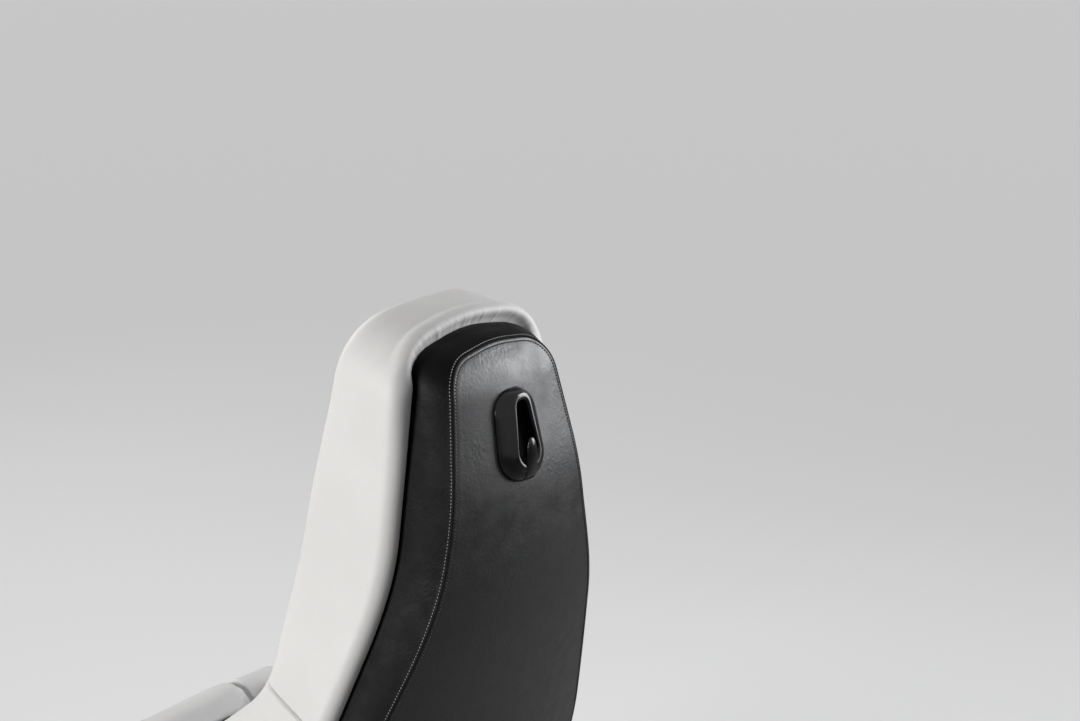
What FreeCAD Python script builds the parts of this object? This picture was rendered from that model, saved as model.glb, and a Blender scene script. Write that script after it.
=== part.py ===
import FreeCAD, Part
import math
import os
import re

import Sketcher

# Sports bucket seat of a two-seat roadster, in millimetres.
# The seat faces -Y, +X is the occupant's left (the door side) and +Z is up.
# The origin is the centre of the four floor bolts, on the floor.

doc = FreeCAD.newDocument("RoadsterSeat")
sheet = doc.addObject("Spreadsheet::Sheet", "Sizes")

# Driving dimensions: name, value, what it measures
SIZES = (
    # Fits and clearances
    ("seam_gap", 0.3, "gap where two pieces meet"),
    ("pin_fit", 0.05, "radial play of a pin in its hole"),
    ("open_fit", 1.0, "radial play where the height linkage is opened"),
    # Floor rails and feet
    ("bolt_dx", 400, "floor bolts, across"),
    ("bolt_dy", 430, "floor bolts, along"),
    ("bolt_hole", 11, "floor bolt hole"),
    ("foot_plate", 4, "thickness of a foot"),
    ("foot_w", 58, "foot, across"),
    ("foot_len", 62, "foot, along"),
    ("foot_rise", 26, "underside of the lower rail over the floor"),
    ("rail_len", 500, "lower rail length"),
    ("rail_w", 46, "lower rail width"),
    ("rail_h", 34, "lower rail height"),
    ("rail_wall", 2.5, "rail sheet thickness"),
    ("rail_slot", 22, "slot between the lips of the lower rail"),
    ("slider_len", 380, "upper rail length"),
    ("slider_w", 34, "upper rail width inside the lower rail"),
    ("slider_stem", 16, "upper rail width in the slot"),
    ("slider_flange", 16, "height of the turned-up flange"),
    ("slider_rise", 18, "how far the upper rail stands out of the lower one"),
    ("bar_front", -335, "release bar's front, along"),
    ("bar_rear", -120, "release bar's rear ends, along"),
    ("bar_bend", 40, "bend of the release bar"),
    ("bar_thick", 5, "release bar thickness"),
    ("bar_tall", 12, "release bar height"),
    # Height linkage
    ("link_front", -165, "front lower pivot along the seat"),
    ("link_rear", 120, "rear lower pivot along the seat"),
    ("link_over", 16, "lower pivots over the upper rail"),
    ("link_len", 80, "pivot to pivot"),
    ("link_angle", 30, "angle of the links over level at rest, degrees"),
    ("link_plate", 5, "link arm thickness"),
    ("link_end", 14, "radius of a link arm's end"),
    ("torque_bar", 20, "torque bar diameter"),
    ("bracket_plate", 4, "pivot bracket thickness"),
    ("bracket_half", 30, "half length of a pivot bracket's foot"),
    ("eye_pin", 12, "upper link pin diameter"),
    ("eye_out", 2, "how far the upper pins stand out of the side members"),
    # Seat pan
    ("member_x", 222, "outer face of the side members, from the middle"),
    ("member_plate", 3, "side member sheet thickness"),
    ("member_front", -265, "front end of the side members"),
    ("member_low", 112, "lower edge of the side members"),
    ("pan_z", 200, "top of the seat pan"),
    ("pan_sheet", 3, "seat pan sheet"),
    ("pan_front", -283, "front edge of the seat pan"),
    ("pan_rear", -40, "rear edge of the seat pan"),
    ("pan_lip", 38, "depth of the pan's front lip"),
    ("window_pitch", 110, "windows in the pan, apart"),
    ("window_half", 38, "half width of a window in the pan"),
    ("cross_tube", 25, "rear cross tube diameter"),
    ("tube_wall", 2, "rear cross tube wall"),
    ("cross_y", 165, "rear cross tube, along"),
    ("spring_strip", 4, "suspension strip thickness"),
    ("spring_wide", 14, "suspension strip width"),
    ("spring_pitch", 70, "suspension strips, apart"),
    # Recliner
    ("recliner_y", 215, "recliner axis, along"),
    ("recliner_z", 240, "recliner axis over the floor"),
    ("recliner_r", 30, "recliner disc radius"),
    ("recliner_pin", 14, "recliner shaft diameter"),
    ("recliner_t", 10, "recliner disc thickness"),
    ("back_tube", 22, "diameter of the backrest's lower tube"),
    ("arm_plate", 4, "backrest arm thickness"),
    ("arm_r", 34, "radius of the backrest arm round the axis"),
    # Seat cushion
    ("cushion_half", 152, "half width of the middle cushion"),
    ("cushion_rear", 155, "rear end of the cushion"),
    ("cushion_front", -225, "front end of the middle cushion"),
    ("roll_front", -305, "front of the thigh roll"),
    ("roll_top", 322, "top of the thigh roll"),
    ("cushion_top_front", 300, "top of the middle cushion at the front"),
    ("cushion_top_rear", 270, "top of the middle cushion at the rear"),
    ("cushion_dip_y", -60, "lowest place of the cushion's top, along"),
    ("cushion_dip", 4, "depth of that place under the rear"),
    ("side_x", 244, "outer face of the cushion bolsters"),
    ("wing_front_z", 318, "top of a cushion bolster at the front"),
    ("wing_y", -110, "highest place of a cushion bolster, along"),
    ("wing_z", 328, "top of a cushion bolster there"),
    ("wing_rear_z", 266, "top of a cushion bolster at the rear"),
    ("wing_drop", 44, "how far a cushion bolster's inner edge is lower"),
    ("wing_slope", 46, "width of that slope"),
    # Side covers
    ("cover_x", 248, "outer face of the side covers"),
    ("cover_wall", 3, "side cover wall"),
    ("cover_low", 116, "lower edge of the side covers"),
    ("cover_top", 232, "upper edge of the side covers"),
    ("cover_nose", 12, "side covers ahead of the side members"),
    # Levers and buckle
    ("boss_r", 13, "half height of a lever at its pivot"),
    ("lever_t", 15, "lever thickness"),
    ("height_y", -40, "height lever's pivot, along"),
    ("height_reach", 120, "height lever's length ahead of its pivot"),
    ("recline_y", 155, "recline lever's pivot, along"),
    ("recline_reach", 70, "recline lever's length ahead of its pivot"),
    ("buckle_t", 22, "buckle thickness"),
    ("stalk_t", 4, "buckle stalk thickness"),
    ("stalk_top", 306, "top of the buckle stalk"),
    # Backrest outline seen from behind: half widths and heights
    ("back_top", 1036, "top of the hood"),
    ("head_half", 106, "half width at the hood's upper corners"),
    ("head_z", 1018, "height of the hood's upper corners"),
    ("neck_half", 149, "half width where the sides begin to spread"),
    ("neck_z", 770, "height where the sides begin to spread"),
    ("waist_half", 262, "half width at the waist"),
    ("waist_z", 415, "height of the waist"),
    ("hem_half", 226, "half width at the lower edge of the bolsters"),
    ("hem_z", 300, "lower edge of the bolsters"),
    ("hem_round", 44, "outer corner of the bolsters' lower edge"),
    ("shell_low", 245, "lower edge of the back shell"),
    ("head_round", 64, "corner radius of the hood"),
    ("crown_round", 180, "radius of the hood's crown"),
    ("groove_in", 18, "shell edge inside the hood, at the sides"),
    ("groove_top", 18, "shell edge below the hood, at the top"),
    ("panel_in", 12, "rear panel inside the shell edge, at the sides"),
    ("panel_top", 8, "rear panel below the shell edge, at the top"),
    ("panel_t", 6, "rear panel thickness"),
    ("seam_z", 610, "seam between hood and bolsters at the front"),
    ("seam_drop", 19, "slope of that seam, degrees"),
    # Backrest side view: places along Y
    ("rear_top_y", 402, "rear face at the top"),
    ("rear_neck_y", 428, "rear face at its most rearward"),
    ("rear_neck_z", 860, "height of that point"),
    ("rear_back_z", 755, "height where the rear face turns forward"),
    ("rear_low_y", 291, "rear face at the lower edge"),
    ("groove_y", 366, "joint of hood and shell"),
    ("groove_z", 740, "height where that joint turns forward"),
    ("groove_low_y", 228, "joint at the lower edge"),
    ("front_top_y", 268, "front of the hood at the top"),
    ("front_neck_y", 229, "front of the hood at the neck"),
    ("front_neck_z", 820, "height of the neck"),
    ("front_chest_y", 216, "front of the hood above the bolsters"),
    ("front_chest_z", 597, "height where the bolsters begin"),
    ("bolster_y", 98, "front of the bolsters at the top of their swell"),
    ("bolster_z", 490, "height of that point"),
    ("bolster_low_y", 82, "front of the bolsters low down"),
    ("bolster_low_z", 385, "height of that point"),
    ("bolster_hem_y", 132, "front of the bolsters at their lower edge"),
    # Inserts
    ("insert_half", 146, "half width of the back insert low down"),
    ("insert_chest_half", 126, "half width of the back insert at the chest"),
    ("insert_top_half", 88, "half width of the back insert at the top"),
    ("insert_top", 838, "top of the back insert"),
    ("insert_hem_y", 172, "front of the insert at its lower edge"),
    ("insert_lumbar_y", 188, "front of the insert at the lumbar"),
    ("insert_lumbar_z", 400, "height of the lumbar"),
    ("insert_chest_y", 238, "front of the insert at the chest"),
    ("insert_neck_y", 248, "front of the inserts at the neck"),
    ("insert_head_y", 284, "front of the head insert at its top"),
    ("head_insert_top", 992, "top of the head insert"),
    ("head_insert_half", 68, "half width of the head insert at its top"),
    # Coat hook
    ("hook_z", 906, "middle of the coat hook"),
    ("hook_tall", 102, "coat hook height"),
    ("hook_wide", 75, "coat hook width low down"),
    ("hook_out", 15, "how far the coat hook stands out"),
    ("hook_low_out", 0.6, "hook's back behind the rear face's most rearward place, low"),
    ("hook_high_in", 13, "hook's back before that place, high"),
    ("hook_flank", 12, "how far the coat hook's flank slopes in"),
    ("recess_half", 17, "half width of the coat hook's recess"),
    ("recess_low", 25, "recess over the coat hook's lower end"),
    ("recess_high", 10, "recess under the coat hook's upper end"),
    ("tongue_half", 7, "half width of the coat hook's tongue"),
)

for row, (alias, value, note) in enumerate(SIZES, 1):
    sheet.set("A%d" % row, alias)
    sheet.set("B%d" % row, str(value))
    sheet.set("C%d" % row, note)
    sheet.setAlias("B%d" % row, alias)
doc.recompute()

ALIASES = {alias for alias, value, note in SIZES}


def bound(text):
    """An expression over the sheet, from one that names the sizes alone."""
    return re.sub(r"[a-z]\w*", lambda word: "Sizes." + word.group()
                  if word.group() in ALIASES else word.group(), str(text))


def size(text):
    """The value of such an expression now, in millimetres or degrees."""
    return float(sheet.evalExpression(bound(text)))


# Sketches, given as corners (across, up) or (across, up, corner radius)

FACING = {"XY_Plane": 1, "XZ_Plane": -1, "YZ_Plane": 1}


def new_body(name):
    body = doc.addObject("PartDesign::Body", name)
    body.Label = name
    return body


def new_sketch(body, role, offset):
    sketch = body.newObject("Sketcher::SketchObject", "outline")
    plane = [item for item in body.Origin.OriginFeatures if item.Role == role][0]
    sketch.AttachmentSupport = [(plane, "")]
    sketch.MapMode = "FlatFace"
    sign = "" if FACING[role] > 0 else "-1 * "
    sketch.setExpression(".AttachmentOffset.Base.z", "%s(%s) * 1 mm" % (sign, bound(offset)))
    return sketch


def set_point(sketch, geometry, vertex, across, up):
    """Fixes one point of a sketch by two sizes."""
    for kind, text in (("DistanceX", across), ("DistanceY", up)):
        index = sketch.addConstraint(Sketcher.Constraint(kind, -1, 1, geometry, vertex, size(text)))
        sketch.setExpression("Constraints[%d]" % index, bound(text))


def draw(body, role, offset, corners):
    """A closed outline of straight runs, with the given corners rounded."""
    sketch = new_sketch(body, role, offset)
    add_loop(sketch, corners)
    return sketch


def add_loop(sketch, corners, closed=True):
    """Straight runs from corner to corner, rounded where a corner has a radius."""
    count = len(corners)
    points = [FreeCAD.Vector(size(corner[0]), size(corner[1]), 0) for corner in corners]
    radii = [size(corner[2]) if len(corner) > 2 else 0.0 for corner in corners]
    arrive = list(points)
    leave = list(points)
    arcs = [None] * count
    for i, point in enumerate(points):
        if not radii[i]:
            continue
        back = (points[i - 1] - point).normalize()
        ahead = (points[(i + 1) % count] - point).normalize()
        half = back.getAngle(ahead) / 2
        reach = radii[i] / math.tan(half)
        middle = (back + ahead).normalize()
        summit = point + middle * (radii[i] / math.sin(half) - radii[i])
        arrive[i] = point + back * reach
        leave[i] = point + ahead * reach
        arcs[i] = Part.Arc(arrive[i], summit, leave[i])
    runs = count if closed else count - 1
    lines = [sketch.addGeometry(Part.LineSegment(leave[i], arrive[(i + 1) % count]), False) for i in range(runs)]
    for i in range(count):
        before = lines[i - 1] if closed or i > 0 else None
        after = lines[i] if i < runs else None
        if arcs[i] is None:
            if before is not None and after is not None:
                sketch.addConstraint(Sketcher.Constraint("Coincident", before, 2, after, 1))
            line, end = (after, 1) if after is not None else (before, 2)
            set_point(sketch, line, end, corners[i][0], corners[i][1])
            continue
        arc = sketch.addGeometry(arcs[i], False)
        first = sketch.getPoint(arc, 1).distanceToPoint(arrive[i]) < 1e-6
        near, far = (1, 2) if first else (2, 1)
        corner = sketch.addGeometry(Part.Point(points[i]), True)
        set_point(sketch, corner, 1, corners[i][0], corners[i][1])
        sketch.addConstraint([
            Sketcher.Constraint("PointOnObject", corner, 1, before),
            Sketcher.Constraint("PointOnObject", corner, 1, after),
            Sketcher.Constraint("Tangent", before, 2, arc, near),
            Sketcher.Constraint("Tangent", after, 1, arc, far),
        ])
        index = sketch.addConstraint(Sketcher.Constraint("Radius", arc, radii[i]))
        sketch.setExpression("Constraints[%d]" % index, bound(corners[i][2]))


def add_circle(sketch, across, up, radius):
    circle = sketch.addGeometry(
        Part.Circle(FreeCAD.Vector(size(across), size(up), 0), FreeCAD.Vector(0, 0, 1), size(radius)), False)
    set_point(sketch, circle, 3, across, up)
    index = sketch.addConstraint(Sketcher.Constraint("Radius", circle, size(radius)))
    sketch.setExpression("Constraints[%d]" % index, bound(radius))


def both_sides(half):
    """A whole outline from its right half, listed from the bottom up."""
    left = [("-1 * (%s)" % corner[0],) + tuple(corner[1:]) for corner in reversed(half)]
    middle = [corner for corner in left if size(corner[0]) != 0]
    return list(half) + middle


# Features

def pad(body, sketch, length, symmetric=False):
    feature = body.newObject("PartDesign::Pad", "pad")
    feature.Profile = sketch
    feature.setExpression("Length", bound(length))
    feature.SideType = "Symmetric" if symmetric else "One side"
    sketch.Visibility = False
    return feature


def cut_through(body, sketch):
    """Removes the outline along its plane's normal, both ways."""
    before = volume_of(body)
    feature = body.newObject("PartDesign::Pocket", "cut")
    feature.Profile = sketch
    feature.Type = "ThroughAll"
    feature.SideType = "Symmetric"
    doc.recompute()
    if not volume_of(body) < before:
        raise RuntimeError("a cut of %s removed nothing" % body.Label)
    return feature


def pocket(body, sketch, length, reverse=False):
    before = volume_of(body)
    feature = body.newObject("PartDesign::Pocket", "pocket")
    feature.Profile = sketch
    feature.setExpression("Length", bound(length))
    feature.Reversed = reverse
    doc.recompute()
    if not volume_of(body) < before:
        raise RuntimeError("a pocket of %s removed nothing" % body.Label)
    return feature


def volume_of(body):
    doc.recompute()
    return body.Shape.Volume


def finish_piece(name, body):
    PIECES.append((name, body))
    return body


PIECES = []
SIDES = (("left", 1), ("right", -1))
ENDS = (("front", -1), ("rear", 1))

# Derived places that several pieces share

RAIL_X = "bolt_dx / 2"
RAIL_TOP = "foot_rise + rail_h"
SLIDER_TOP = "foot_rise + rail_h + slider_rise"
LINK_Z = "foot_rise + rail_h + slider_rise + link_over"
EYE_DY = "link_len * cos(link_angle * 1 deg)"
EYE_DZ = "link_len * sin(link_angle * 1 deg)"
STEM_OUT = "bolt_dx / 2 + slider_stem / 2"
LINK_IN = "bolt_dx / 2 + slider_stem / 2 + seam_gap"
MEMBER_IN = "member_x - member_plate"


def on_side(sign, text):
    return "%d * (%s)" % (sign, text)


def plate_on_side(body, sign, inner, thick, corners):
    """Pads a side-view outline from inner to inner + thick on one side."""
    middle = on_side(sign, "(%s) + (%s) / 2" % (inner, thick))
    return pad(body, draw(body, "YZ_Plane", middle, corners), thick, symmetric=True)


# Lower rails: channels with inward lips

def lower_rail(side, sign):
    body = new_body("lower_rail_" + side)
    centre = on_side(sign, RAIL_X)
    profile = [
        ("rail_w / 2", "foot_rise"),
        ("rail_w / 2", RAIL_TOP),
        ("rail_slot / 2", RAIL_TOP),
        ("rail_slot / 2", RAIL_TOP + " - rail_wall"),
        ("rail_w / 2 - rail_wall", RAIL_TOP + " - rail_wall"),
        ("rail_w / 2 - rail_wall", "foot_rise + rail_wall"),
    ]
    outline = [(centre + " + " + x, z) for x, z in profile]
    outline += [(centre + " - (" + x + ")", z) for x, z in reversed(profile)]
    sketch = draw(body, "XZ_Plane", "0", outline)
    pad(body, sketch, "rail_len", symmetric=True)
    return finish_piece(body.Label, body)


# Feet: pressed steps from the floor up to the underside of the rails

def foot(end, way, side, sign):
    body = new_body("foot_%s_%s" % (end, side))
    bolt_y = "%d * bolt_dy / 2" % way
    profile = [
        (bolt_y + " + %d * foot_len / 2" % way, "0"),
        (bolt_y + " + %d * foot_len / 2" % way, "foot_plate"),
        (bolt_y + " - %d * (foot_len / 2 - 12)" % way, "foot_plate"),
        (bolt_y + " - %d * (foot_len / 2 + 6)" % way, "foot_rise - seam_gap"),
        (bolt_y + " - %d * (foot_len + 20)" % way, "foot_rise - seam_gap"),
        (bolt_y + " - %d * (foot_len + 20)" % way, "foot_rise - foot_plate"),
        (bolt_y + " - %d * (foot_len / 2 + 11)" % way, "foot_rise - foot_plate"),
        (bolt_y + " - %d * (foot_len / 2 - 7)" % way, "0"),
    ]
    middle = on_side(sign, RAIL_X)
    pad(body, draw(body, "YZ_Plane", middle, profile), "foot_w", symmetric=True)
    hole = new_sketch(body, "XY_Plane", "0")
    add_circle(hole, middle, bolt_y, "bolt_hole / 2")
    cut_through(body, hole)
    return finish_piece(body.Label, body)


# Upper rails: inverted channels with turned-up flanges, and their pivot brackets

def upper_rail(side, sign):
    body = new_body("upper_rail_" + side)
    centre = on_side(sign, RAIL_X)
    low = "foot_rise + rail_wall + seam_gap"
    profile = [
        ("slider_stem / 2", SLIDER_TOP),
        ("slider_stem / 2", low + " + rail_wall"),
        ("slider_w / 2 - rail_wall", low + " + rail_wall"),
        ("slider_w / 2 - rail_wall", low + " + slider_flange"),
        ("slider_w / 2", low + " + slider_flange"),
        ("slider_w / 2", low),
        ("slider_stem / 2 - rail_wall", low),
        ("slider_stem / 2 - rail_wall", SLIDER_TOP + " - rail_wall"),
    ]
    outline = [(centre + " + " + x, z) for x, z in profile]
    outline += [(centre + " - (" + x + ")", z) for x, z in reversed(profile)]
    pad(body, draw(body, "XZ_Plane", "0", outline), "slider_len", symmetric=True)
    for pivot in ("link_front", "link_rear"):
        upstand = [
            (pivot + " - bracket_half", SLIDER_TOP + " - slider_rise * 0.7"),
            (pivot + " + bracket_half", SLIDER_TOP + " - slider_rise * 0.7"),
            (pivot + " + bracket_half", SLIDER_TOP + " - slider_rise * 0.3"),
            (pivot + " + link_end", LINK_Z + " + link_end"),
            (pivot + " - link_end", LINK_Z + " + link_end"),
            (pivot + " - bracket_half", SLIDER_TOP + " - slider_rise * 0.3"),
        ]
        plate_on_side(body, sign, STEM_OUT + " - bracket_plate", "bracket_plate", upstand)
        hole = new_sketch(body, "YZ_Plane", "0")
        add_circle(hole, pivot, LINK_Z, "torque_bar / 2 + pin_fit")
        cut_through(body, hole)
    return finish_piece(body.Label, body)


# Release bar: a flat bar bent round the front, carried on the upper rails

def release_bar():
    body = new_body("release_bar")
    level = "foot_rise + rail_h + slider_rise / 2"
    reach = "bolt_dx / 2 - slider_stem / 2 - bar_thick / 2 - seam_gap"
    path = new_sketch(body, "XY_Plane", level)
    route = [
        (reach, "bar_rear"),
        (reach, "bar_front", "bar_bend"),
        ("-1 * (" + reach + ")", "bar_front", "bar_bend"),
        ("-1 * (" + reach + ")", "bar_rear"),
    ]
    add_loop(path, route, closed=False)
    section = draw(body, "XZ_Plane", "bar_rear", [
        (reach + " + bar_thick / 2", level + " - bar_tall / 2"),
        (reach + " + bar_thick / 2", level + " + bar_tall / 2"),
        (reach + " - bar_thick / 2", level + " + bar_tall / 2"),
        (reach + " - bar_thick / 2", level + " - bar_tall / 2"),
    ])
    bar = body.newObject("PartDesign::AdditivePipe", "bar")
    bar.Profile = section
    doc.recompute()
    bar.Spine = (path, ["Edge%d" % (i + 1) for i in range(len(path.Shape.Edges))])
    doc.recompute()
    return finish_piece(body.Label, body)


# Links: a torque bar through both brackets, two arms outside them, two eye pins

def link(end, pivot):
    body = new_body(end + "_link")
    tube = new_sketch(body, "YZ_Plane", "0")
    add_circle(tube, pivot, LINK_Z, "torque_bar / 2")
    pad(body, tube, "2 * (" + LINK_IN + " + link_plate)", symmetric=True)
    eye_y = pivot + " + " + EYE_DY
    eye_z = LINK_Z + " + " + EYE_DZ
    along = "link_end * cos(link_angle * 1 deg)"
    across = "link_end * sin(link_angle * 1 deg)"
    arm = [
        (pivot + " - " + along + " + " + across, LINK_Z + " - " + across + " - " + along, "link_end * 0.95"),
        (eye_y + " + " + along + " + " + across, eye_z + " + " + across + " - " + along, "link_end * 0.95"),
        (eye_y + " + " + along + " - " + across, eye_z + " + " + across + " + " + along, "link_end * 0.95"),
        (pivot + " - " + along + " - " + across, LINK_Z + " - " + across + " + " + along, "link_end * 0.95"),
    ]
    for side, sign in SIDES:
        plate_on_side(body, sign, LINK_IN, "link_plate", arm)
        pin = new_sketch(body, "YZ_Plane", on_side(sign, "(" + LINK_IN + " + member_x + eye_out) / 2"))
        add_circle(pin, eye_y, eye_z, "eye_pin / 2")
        pad(body, pin, "member_x + eye_out - (" + LINK_IN + ")", symmetric=True)
    return finish_piece(body.Label, body)


# Side members: pressed plates from the front of the pan to the recliners

def side_member(side, sign):
    body = new_body("side_member_" + side)
    eye_z = LINK_Z + " + " + EYE_DZ
    plate = [
        ("member_front", "pan_z - 46"),
        ("link_front", "member_low", "60"),
        ("recliner_y - 8", "member_low", "36"),
        ("recliner_y + recliner_r + 12", "recliner_z - 18", "30"),
        ("recliner_y + recliner_r + 12", "recliner_z + recliner_r + 8", "36"),
        ("recliner_y - recliner_r - 12", "recliner_z + recliner_r + 8", "34"),
        ("recliner_y - recliner_r - 18", "pan_z + 14"),
        ("member_front", "pan_z + 14"),
    ]
    plate_on_side(body, sign, MEMBER_IN, "member_plate", plate)
    holes = (
        ("link_rear + " + EYE_DY, eye_z, "eye_pin / 2 + pin_fit"),
        ("link_front + " + EYE_DY, eye_z, "eye_pin / 2 + open_fit"),
        ("recliner_y", "recliner_z", "recliner_pin / 2 + seam_gap"),
    )
    for across, up, radius in holes:
        hole = new_sketch(body, "YZ_Plane", "0")
        add_circle(hole, across, up, radius)
        cut_through(body, hole)
    return finish_piece(body.Label, body)


def seat_pan():
    body = new_body("seat_pan")
    inside = "2 * (" + MEMBER_IN + " - seam_gap)"
    profile = [
        ("pan_rear", "pan_z"),
        ("pan_front", "pan_z", "8"),
        ("pan_front", "pan_z - pan_lip"),
        ("pan_front + pan_sheet", "pan_z - pan_lip"),
        ("pan_front + pan_sheet", "pan_z - pan_sheet", "5"),
        ("pan_rear", "pan_z - pan_sheet"),
    ]
    pad(body, draw(body, "YZ_Plane", "0", profile), inside, symmetric=True)
    for place in (-1, 0, 1):
        across = "%d * window_pitch" % place
        window = draw(body, "XY_Plane", "pan_z", [
            (across + " - window_half", "pan_front + window_half * 1.6"),
            (across + " + window_half", "pan_front + window_half * 1.6"),
            (across + " + window_half", "pan_rear - window_half * 1.3"),
            (across + " - window_half", "pan_rear - window_half * 1.3"),
        ])
        cut_through(body, window)
    return finish_piece(body.Label, body)


def rear_cross_tube():
    body = new_body("rear_cross_tube")
    level = "pan_z - spring_strip - cross_tube / 2 - seam_gap"
    tube = new_sketch(body, "YZ_Plane", "0")
    add_circle(tube, "cross_y", level, "cross_tube / 2")
    add_circle(tube, "cross_y", level, "cross_tube / 2 - tube_wall")
    pad(body, tube, "2 * (" + MEMBER_IN + " - seam_gap)", symmetric=True)
    return finish_piece(body.Label, body)


# Suspension: strips from the pan to the rear cross tube, tied by two across

def spring_mat():
    body = new_body("spring_mat")
    front = "pan_rear + seam_gap"
    back = "cross_y + cross_tube / 2"
    level = "pan_z - spring_strip"
    for place in (-2, -1, 0, 1, 2):
        across = "%d * spring_pitch" % place
        strip = draw(body, "XZ_Plane", "(%s + %s) / 2" % (front, back), [
            (across + " - spring_wide / 2", level),
            (across + " + spring_wide / 2", level),
            (across + " + spring_wide / 2", "pan_z"),
            (across + " - spring_wide / 2", "pan_z"),
        ])
        pad(body, strip, "%s - (%s)" % (back, front), symmetric=True)
    for share in ("0.3", "0.7"):
        along = "%s * %s + (1 - %s) * (%s)" % (share, back, share, front)
        tie = draw(body, "YZ_Plane", "0", [
            (along + " - spring_wide / 2", level + " + spring_strip / 4"),
            (along + " + spring_wide / 2", level + " + spring_strip / 4"),
            (along + " + spring_wide / 2", "pan_z - spring_strip / 4"),
            (along + " - spring_wide / 2", "pan_z - spring_strip / 4"),
        ])
        pad(body, tie, "4 * spring_pitch + 2 * spring_wide", symmetric=True)
    return finish_piece(body.Label, body)


# Recliners: a disc inside each side member, joined by the shaft that works both

def recliner_pair():
    body = new_body("recliner_pair")
    shaft = new_sketch(body, "YZ_Plane", "0")
    add_circle(shaft, "recliner_y", "recliner_z", "recliner_pin / 2")
    pad(body, shaft, "2 * (member_x + eye_out)", symmetric=True)
    for side, sign in SIDES:
        disc = new_sketch(body, "YZ_Plane", on_side(sign, MEMBER_IN + " - seam_gap - recliner_t / 2"))
        add_circle(disc, "recliner_y", "recliner_z", "recliner_r")
        pad(body, disc, "recliner_t", symmetric=True)
    return finish_piece(body.Label, body)


# Seat cushion: middle, two bolsters and the thigh roll, on the pan

CUSHION_LOW = "pan_z + seam_gap"


def seat_cushion():
    body = new_body("seat_cushion")
    profile = [
        ("cushion_front + seam_gap", CUSHION_LOW),
        ("cushion_rear", CUSHION_LOW, "10"),
        ("cushion_rear", "cushion_top_rear", "26"),
        ("cushion_dip_y", "cushion_top_rear - cushion_dip", "400"),
        ("cushion_front + seam_gap", "cushion_top_front", "16"),
    ]
    pad(body, draw(body, "YZ_Plane", "0", profile), "2 * cushion_half", symmetric=True)
    return finish_piece(body.Label, body)


def seat_bolster(side, sign):
    body = new_body("seat_bolster_" + side)
    inner = "cushion_half + seam_gap"
    profile = [
        ("cushion_front + seam_gap", CUSHION_LOW),
        ("cushion_rear", CUSHION_LOW),
        ("cushion_rear", "wing_rear_z"),
        ("wing_y", "wing_z", "200"),
        ("cushion_front + seam_gap", "wing_front_z"),
    ]
    plate_on_side(body, sign, inner, "side_x - (" + inner + ")", profile)
    cut_through(body, member_notch(body, sign))
    slope = [
        (on_side(sign, "cushion_half"), "wing_z - wing_drop"),
        (on_side(sign, "cushion_half + wing_slope"), "wing_z"),
        (on_side(sign, "cushion_half + wing_slope"), "wing_z + 20"),
        (on_side(sign, "cushion_half"), "wing_z + 20"),
    ]
    cut_through(body, draw(body, "XZ_Plane", "0", slope))
    return finish_piece(body.Label, body)


def member_notch(body, sign):
    """Outline of the room that a side member and its cover need."""
    return draw(body, "XZ_Plane", "0", [
        (on_side(sign, MEMBER_IN + " - seam_gap"), "pan_z - 20"),
        (on_side(sign, "side_x + 20"), "pan_z - 20"),
        (on_side(sign, "side_x + 20"), "cover_top + 6"),
        (on_side(sign, MEMBER_IN + " - seam_gap"), "cover_top + 6"),
    ])


def thigh_roll():
    body = new_body("thigh_roll")
    profile = [
        ("cushion_front - seam_gap", CUSHION_LOW),
        ("cushion_front - seam_gap", "roll_top - 6", "12"),
        ("roll_front + 38", "roll_top", "34"),
        ("roll_front", "pan_z + 62", "40"),
        ("pan_front + 4", CUSHION_LOW, "6"),
    ]
    pad(body, draw(body, "YZ_Plane", "0", profile), "2 * side_x", symmetric=True)
    for side, sign in SIDES:
        swept = draw(body, "XY_Plane", "0", [
            (on_side(sign, "side_x + 20"), "roll_front - 20"),
            (on_side(sign, "side_x + 20"), "cushion_front - seam_gap - 4"),
            (on_side(sign, "side_x"), "cushion_front - seam_gap - 4", "30"),
            (on_side(sign, "side_x - 34"), "roll_front - 20"),
        ])
        cut_through(body, swept)
        cut_through(body, member_notch(body, sign))
    return finish_piece(body.Label, body)


# Side covers: open towards the side members

def side_cover(side, sign):
    body = new_body("side_cover_" + side)
    outline = [
        ("member_front - cover_nose", "pan_z - 40", "24"),
        ("-150", "cover_low", "90"),
        ("recliner_y + 20", "cover_low", "50"),
        ("recliner_y + 52", "recliner_z - 40", "40"),
        ("recliner_y + 52", "recliner_z + 44", "44"),
        ("recliner_y - 40", "recliner_z + 44", "30"),
        ("recliner_y - 52", "cover_top", "30"),
        ("member_front - cover_nose", "cover_top", "20"),
    ]
    inner = "member_x + seam_gap"
    wide = "cover_x - member_x - seam_gap"
    plate_on_side(body, sign, inner, wide, outline)
    hollow = [
        ("member_front - cover_nose + cover_wall", "pan_z - 40 + cover_wall", "21"),
        ("-150", "cover_low + cover_wall", "90"),
        ("recliner_y + 19", "cover_low + cover_wall", "47"),
        ("recliner_y + 52 - cover_wall", "recliner_z - 38", "37"),
        ("recliner_y + 52 - cover_wall", "recliner_z + 44 - cover_wall", "41"),
        ("recliner_y - 38", "recliner_z + 44 - cover_wall", "27"),
        ("recliner_y - 50", "cover_top - cover_wall", "33"),
        ("member_front - cover_nose + cover_wall", "cover_top - cover_wall", "17"),
    ]
    sketch = draw(body, "YZ_Plane", on_side(sign, inner), hollow)
    pocket(body, sketch, wide + " - cover_wall", reverse=sign > 0)
    return finish_piece(body.Label, body)


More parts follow.
